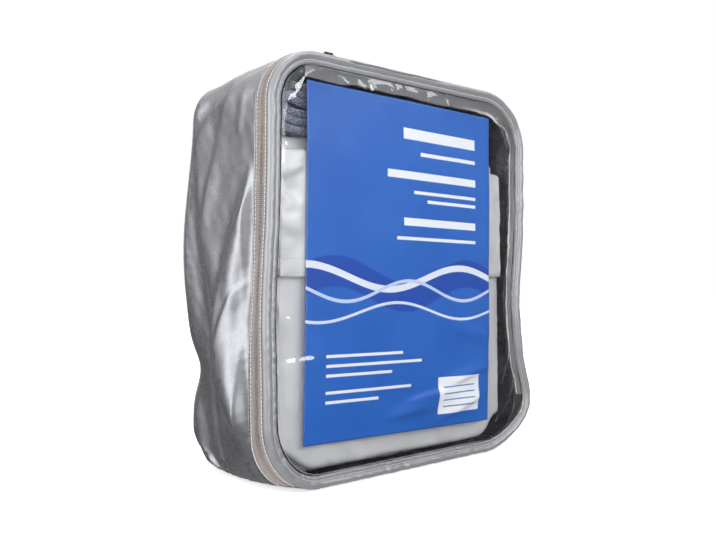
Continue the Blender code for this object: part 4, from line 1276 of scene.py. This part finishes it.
# Folds that show in the cloth beside and below the card, as places (x, z)
CLOTH_FOLDS = (
    Pull(-0.148, 0.248, -0.106, 0.27, -0.004, 0.0034, 0.006, 0.5),
    Pull(-0.146, 0.252, -0.112, 0.228, 0.004, -0.003, 0.006, 0.4),
    Pull(-0.144, 0.218, -0.108, 0.202, 0.003, 0.0028, 0.008, 0.4),
    Pull(-0.144, 0.15, -0.11, 0.105, 0.004, 0.0026, 0.007, 0.4),
    Pull(-0.13, 0.14, -0.123, 0.05, 0.0, -0.0022, 0.005, 0.3),
    Pull(-0.126, 0.072, -0.06, -0.012, 0.004, 0.0054, 0.006, 0.5),
    Pull(-0.104, 0.076, -0.056, -0.018, -0.003, -0.005, 0.0055, 0.4),
    Pull(-0.086, 0.07, -0.036, -0.016, 0.0, 0.0046, 0.006, 0.3),
    Pull(-0.03, 0.06, 0.07, -0.005, 0.003, -0.004, 0.008, 0.4),
)


def layer_middles():
    """The depth of each layer's middle and half its thickness, from the front to the back."""
    thick = [HEM_THICKNESS] + [PACK_THICKNESS] * (2 * len(TOP_FOLDS_Z) - 1)
    gap = (COVER_BACK_Y - COVER_FRONT_Y - sum(thick)) / (len(thick) - 1)
    fronts = COVER_FRONT_Y + np.concatenate(([0.0], np.cumsum(np.array(thick[:-1]) + gap)))
    return [(front + part / 2.0, part / 2.0) for front, part in zip(fronts, thick)]


def cover_line():
    """The folded cloth's middle line (y, z) from hem to end, with its half thickness and its direction."""
    layers = layer_middles()
    line = [(layers[0][0], HEM_Z, layers[0][1], 90.0)]
    for index, (here, after) in enumerate(zip(layers, layers[1:])):
        up = index % 2 == 0
        sign = 1.0 if up else -1.0
        fold_z = (TOP_FOLDS_Z if up else BOTTOM_FOLDS_Z)[index // 2]
        radius = (after[0] - here[0]) / 2.0
        end_z = fold_z - sign * (radius + (here[1] + after[1]) / 2.0)
        steps = FRONT_LAYER_STEPS if index < FRONT_LAYERS else LAYER_STEPS
        for z in np.linspace(line[-1][1], end_z, steps + 1)[1:-1]:
            line.append((here[0], z, here[1], 90.0 * sign))
        for share in np.linspace(0.0, 1.0, FOLD_STEPS + 1):
            y = (after[0] + here[0]) / 2.0 - radius * math.cos(math.pi * share)
            z = end_z + sign * radius * math.sin(math.pi * share)
            half = here[1] + (after[1] - here[1]) * share
            line.append((y, z, half, sign * (90.0 - 180.0 * share)))
    for z in np.linspace(line[-1][1], BOTTOM_FOLDS_Z[-1], LAYER_STEPS + 1)[1:]:
        line.append((layers[-1][0], z, layers[-1][1], -90.0))
    return np.array(line)


def into_cover(y):
    """0 at the cover's front and 1 at its back."""
    return (y - COVER_FRONT_Y) / (COVER_BACK_Y - COVER_FRONT_Y)


def settle(x, y, z):
    """Moves points of the evenly folded cover to where they lie in the bag."""
    left = smooth((COVER_LEFT + CORNER_REACH - x) / CORNER_REACH)
    right = smooth((x - COVER_RIGHT + CORNER_REACH) / CORNER_REACH)
    lift = CORNER_LIFT * np.maximum(left, right)
    share = z / COVER_TOP_Z
    up = lift * (1.0 - share) * smooth(1.0 - (z - BOTTOM_FOLDS_Z[-1]) / CORNER_LIFT_HEIGHT)
    down = lift * share * risen(z, TOP_FOLDS_Z[0], COVER_TOP_Z)
    wave = WAVE_HEIGHT * np.sin(WAVE_PER_X * x + WAVE_PER_Y * y) * risen(z, *WAVE_Z)
    depth = into_cover(y)
    forward = COVER_FRONT_Y - card_front(x, z) - CARD_GAP
    forward = forward - RIGHT_TURN * risen(x, RIGHT_TURN_X, COVER_RIGHT)
    backward = BACK_DOME * BACK_FILL * dome(x, z)
    return np.stack((x, y - forward * (1.0 - depth) + backward * depth, z + up - down + wave), -1)


COVER_LINE = cover_line()
LINE_TURNS = np.radians(COVER_LINE[:, 3])
LINE_SIDES = np.stack((-np.sin(LINE_TURNS), np.cos(LINE_TURNS)), -1) * COVER_LINE[:, 2:3]
COVER_SECTION = np.concatenate((COVER_LINE[:, :2] + LINE_SIDES, (COVER_LINE[:, :2] - LINE_SIDES)[::-1]))
COVER_SECTION = np.concatenate((COVER_SECTION, COVER_SECTION[:1]))
SECTION_STATIONS = run_lengths(COVER_SECTION)
SECTION_COUNT = len(COVER_SECTION) - 1


def on_section(v, values):
    return np.interp(v * SECTION_COUNT, np.arange(SECTION_COUNT + 1), values)


def cloth_points(x, y, z):
    """Points of the evenly folded cover, moved to where they lie and creased where the front shows."""
    spots = settle(x, y, z)
    beside = risen(np.abs(x - CARD_CENTRE_X) - CARD_WIDTH / 2.0, *SHOWS_BESIDE)
    below = risen(CARD_CENTRE_Z - CARD_HEIGHT / 2.0 - z, *SHOWS_BELOW)
    front = np.exp(-into_cover(y) / FRONT_REACH) * np.maximum(beside, below)
    spots[:, 1] -= (pulled(CLOTH_FOLDS, x, z) + ripples(x, z, *CLOTH_CRUMPLES)) * front
    spots[:, 2] += ripples(x, y, CREST_WAVE) * risen(z, *CREST_Z)
    return spots


def cover_x(u):
    return COVER_LEFT + (COVER_RIGHT - COVER_LEFT) * u


def cover_places(u, v):
    return cloth_points(cover_x(u), *[on_section(v, COVER_SECTION[:, axis]) for axis in (0, 1)])


folded_cover = sheet_piece(
    "folded_cover_cloth",
    COVER_COLUMNS,
    SECTION_COUNT,
    cover_places,
    lambda u, v: np.stack((cover_x(u), on_section(v, SECTION_STATIONS)), -1),
    closed=True,
    solid=True,
)
COVER_CLOTH = silver_polyester("silver polyester cover cloth", "#e8e8e9", "#d0d0d2", 0.14, 0.4)
dress(folded_cover, COVER_CLOTH, "cover_cloth", "folded_cover")

for row, above_hem in enumerate(HEM_SEAMS):
    x = np.arange(COVER_LEFT + HEM_MARGIN, COVER_RIGHT - HEM_MARGIN, STITCH_PITCH)
    seam = cloth_points(x, np.full(x.shape, COVER_FRONT_Y), np.full(x.shape, HEM_Z + above_hem))
    seam_frames = [upright(point, (1.0, 0.0, 0.0), (0.0, -1.0, 0.0)) for point in seam]
    stitch_row(f"cover_hem_stitches_{row + 1}", seam_frames, "cover_cloth")

# Tie-down rope
# Braided polypropylene rope, dark slate blue with pale flecks, wound into one hank of long loops and laid on
# the folds of the cover, behind the top of the window.

ROPE_DIAMETER = 0.0069
ROPE_PITCH = 0.0076
HANK_LEFT = -0.1395
HANK_RIGHT = 0.102
HANK_Y = -0.0433
HANK_Z = 0.31
HANK_COLUMNS = 4
HANK_RADII = (0.0184, 0.0112, 0.004)
ROPE_SIDES = 14
ROPE_STEP = 0.002
LEFT_TURNS_SPREAD = 0.002
RIGHT_TURNS_SPREAD = 0.003
RUN_POINTS = 24
TURN_POINTS = 12
STRAND_DEPTH = 0.03
STRAND_LENGTH = 0.003
BRAID_SPACING = 0.0023675


def hank_points():
    """Points down the middle of the rope, loop by loop, from the front outer loop to the inner ones."""
    points = []
    turn_inset = ROPE_DIAMETER / 2.0 + HANK_RADII[0]
    shares = np.linspace(0.0, 1.0, RUN_POINTS, endpoint=False)
    for nest, radius in enumerate(HANK_RADII):
        for column in range(HANK_COLUMNS):
            order = column if nest % 2 == 0 else HANK_COLUMNS - 1 - column
            y = HANK_Y + (order - (HANK_COLUMNS - 1) / 2.0) * ROPE_PITCH
            towards = ROPE_PITCH * (1.0 if nest % 2 == 0 else -1.0)
            left = HANK_LEFT + turn_inset + LEFT_TURNS_SPREAD * math.sin(2.1 * len(points))
            right = HANK_RIGHT - turn_inset - RIGHT_TURNS_SPREAD * math.sin(1.3 * len(points))
            points += [(left + (right - left) * share, y, HANK_Z + radius) for share in shares]
            for angle in np.radians(np.linspace(90.0, -90.0, TURN_POINTS, endpoint=False)):
                points.append((right + radius * math.cos(angle), y, HANK_Z + radius * math.sin(angle)))
            points += [(right + (left - right) * share, y, HANK_Z - radius) for share in shares]
            for turn in np.linspace(270.0, 90.0, TURN_POINTS, endpoint=False):
                angle = math.radians(turn)
                shift = towards * (270.0 - turn) / 180.0 if column < HANK_COLUMNS - 1 else 0.0
                x = left + radius * math.cos(angle)
                points.append((x, y + shift, HANK_Z + radius * math.sin(angle)))
    return np.array(points)


def even_line(points, step):
    """A smooth line through the points, with a point every step of its length."""
    for _ in range(3):
        points[1:-1] = (points[:-2] + 2.0 * points[1:-1] + points[2:]) / 4.0
    lengths = run_lengths(points)
    places = np.linspace(0.0, lengths[-1], int(lengths[-1] / step))
    return np.stack([np.interp(places, lengths, points[:, axis]) for axis in range(3)], -1)


ROPE_LINE = even_line(hank_points(), ROPE_STEP)
ROPE_LENGTH = float(np.linalg.norm(np.diff(ROPE_LINE, axis=0), axis=1).sum())


def carried_frames(line):
    """Two unit vectors square to the line at each of its points, carried along it without twist."""
    along = np.gradient(line, axis=0)
    along /= np.linalg.norm(along, axis=1, keepdims=True)
    first = np.zeros(line.shape)
    side = np.cross(along[0], (0.0, 1.0, 0.0))
    for index, heading in enumerate(along):
        side = side - heading * (side @ heading)
        side = side / np.linalg.norm(side)
        first[index] = side
    return first, np.cross(along, first)


ROPE_FIRST, ROPE_SECOND = carried_frames(ROPE_LINE)


def rope_places(u, v):
    index = np.clip(np.rint(u * (len(ROPE_LINE) - 1)).astype(int), 0, len(ROPE_LINE) - 1)
    turn = (2.0 * math.pi * v)[:, None]
    strand = 1.0 + STRAND_DEPTH * np.sin(4.0 * turn + index[:, None] * ROPE_STEP / STRAND_LENGTH)
    around = ROPE_FIRST[index] * np.cos(turn) + ROPE_SECOND[index] * np.sin(turn)
    return ROPE_LINE[index] + around * ROPE_DIAMETER / 2.0 * strand


def rope_finish():
    """Braided polypropylene: dull slate blue with a dry sheen, a diamond braid and scattered pale flecks."""
    made, tree = finish_of("braided polypropylene", Roughness=0.72, Sheen_Weight=0.5, Sheen_Roughness=0.5)
    cloth = pattern_of(tree)
    braids = []
    for lean in (math.pi / 4.0, -math.pi / 4.0):
        turned = add_node(tree, "ShaderNodeMapping", {"Vector": cloth, "Rotation": (0.0, 0.0, lean)})
        braids.append(bands_of(tree, turned.outputs[0], BRAID_SPACING, 0.5))
    braid = computed(tree, "MAXIMUM", *braids)
    pale = ranged(tree, noise_of(tree, cloth, 900.0, 2.0), 0.0, 1.0, 0.56, 0.66)
    colour = mixed(tree, pale, mixed(tree, braid, "#3d4157", "#858aa2"), "#cdcfdb")
    return feed(made, Base_Color=colour, Normal=bumped(tree, braid, 0.8, 0.0008))


rope = sheet_piece(
    "tie_down_rope",
    len(ROPE_LINE) - 1,
    ROPE_SIDES,
    rope_places,
    lambda u, v: np.stack((u * ROPE_LENGTH, v * math.pi * ROPE_DIAMETER), -1),
    closed=True,
    solid=True,
)
dress(rope, rope_finish(), "rope_braid", "rope_hank")

# Camera and studio
# A table-top shot on a white sweep. Softboxes stand high at the front right and above, a narrow one high in
# front, a low fill at the front left, one behind at the right, and a large panel at the left that lights the
# side gusset. Black cloths keep part of the sweep out of what the silver cloth and the film mirror.

CAMERA_PLACE = (-0.406, -0.534, 0.172)
CAMERA_AIM = (0.5976, 0.802, 0.0088)
CAMERA_LENS = 34.3
SENSOR = 36.0
FLOOR_REACH = 6.0
FLOOR_DROP = 0.0004


def in_studio(name, data, place, heading):
    """A camera or a light, set in its place and turned to its heading."""
    made = bpy.data.objects.new(name, data)
    made.location = place
    made.rotation_euler = Vector(heading).to_track_quat("-Z", "Y").to_euler()
    bpy.context.scene.collection.objects.link(made)
    return made


camera_data = bpy.data.cameras.new("camera")
camera_data.lens = CAMERA_LENS
camera_data.sensor_width = SENSOR
camera_data.clip_start = 0.01
bpy.context.scene.camera = in_studio("camera", camera_data, CAMERA_PLACE, CAMERA_AIM)

floor_mesh = bmesh.new()
bmesh.ops.create_grid(floor_mesh, x_segments=1, y_segments=1, size=FLOOR_REACH)
bmesh.ops.translate(floor_mesh, vec=(0.0, 0.0, -FLOOR_DROP), verts=floor_mesh.verts[:])
floor = piece_of("studio_floor", floor_mesh)
# Seamless matt paper, which glows a little, so that the floor stays white round the bag
paper = {"Base_Color": linear("#f7f7f7"), "Emission_Color": linear("#ffffff"), "Emission_Strength": 0.55}
floor.data.materials.append(finish_of("matt white paper", Roughness=0.95, **paper)[0])
floor.visible_glossy = False
floor.visible_transmission = False

# The black cloths, at the back, opposite the window and low down. Each dims the sweep by its loss.
Flag = namedtuple("Flag", "heading low high loss")
FLAGS = (
    Flag((-0.1, 0.99, -0.1), 0.7, 0.97, 0.9),
    Flag((0.66, -0.75, 0.0), 0.45, 0.9, 0.92),
    Flag((0.0, 0.0, -1.0), -0.1, 0.35, 0.78),
)

Light = namedtuple("Light", "name place aim width height power")
LIGHTS = (
    Light("key", (0.9, -1.3, 1.5), (0.0, 0.0, 0.18), 0.9, 0.7, 7.0),
    Light("front_top", (0.12, -1.6, 0.95), (0.0, 0.0, 0.18), 0.8, 0.3, 5.5),
    Light("front_fill", (-0.9, -1.3, 0.25), (0.0, 0.0, 0.1), 0.8, 0.8, 6.0),
    Light("top", (-0.1, 0.1, 1.7), (0.0, 0.0, 0.2), 1.2, 1.0, 8.0),
    Light("back_right", (1.0, 1.9, 0.75), (0.0, 0.0, 0.25), 0.6, 0.9, 4.5),
    Light("left_panel", (-1.42, 0.5, 0.35), (0.0, 0.0, 0.18), 0.9, 1.3, 7.5),
)
for light in LIGHTS:
    data = bpy.data.lights.new(light.name, "AREA")
    data.shape = "RECTANGLE"
    data.size = light.width
    data.size_y = light.height
    data.energy = light.power
    in_studio(light.name, data, light.place, Vector(light.aim) - Vector(light.place))

world = bpy.data.worlds.new("sweep")
world.use_nodes = True
bpy.context.scene.world = world
tree = world.node_tree
around = add_node(tree, "ShaderNodeTexCoord").outputs["Generated"]
level = None
for flag in FLAGS:
    facing = add_node(tree, "ShaderNodeVectorMath", {0: around, 1: flag.heading}, operation="DOT_PRODUCT")
    spans = (1.0, 1.0 - flag.loss, flag.low, flag.high)
    shade = ranged(tree, facing.outputs["Value"], *spans, interpolation_type="SMOOTHSTEP")
    level = shade if level is None else computed(tree, "MULTIPLY", level, shade)
seen = add_node(tree, "ShaderNodeLightPath").outputs["Is Camera Ray"]
background = tree.nodes["Background"]
background.inputs["Color"].default_value = (1.0, 1.0, 1.0, 1.0)
tree.links.new(computed(tree, "MAXIMUM", level, seen), background.inputs["Strength"])
bpy.context.scene.view_settings.view_transform = "Standard"
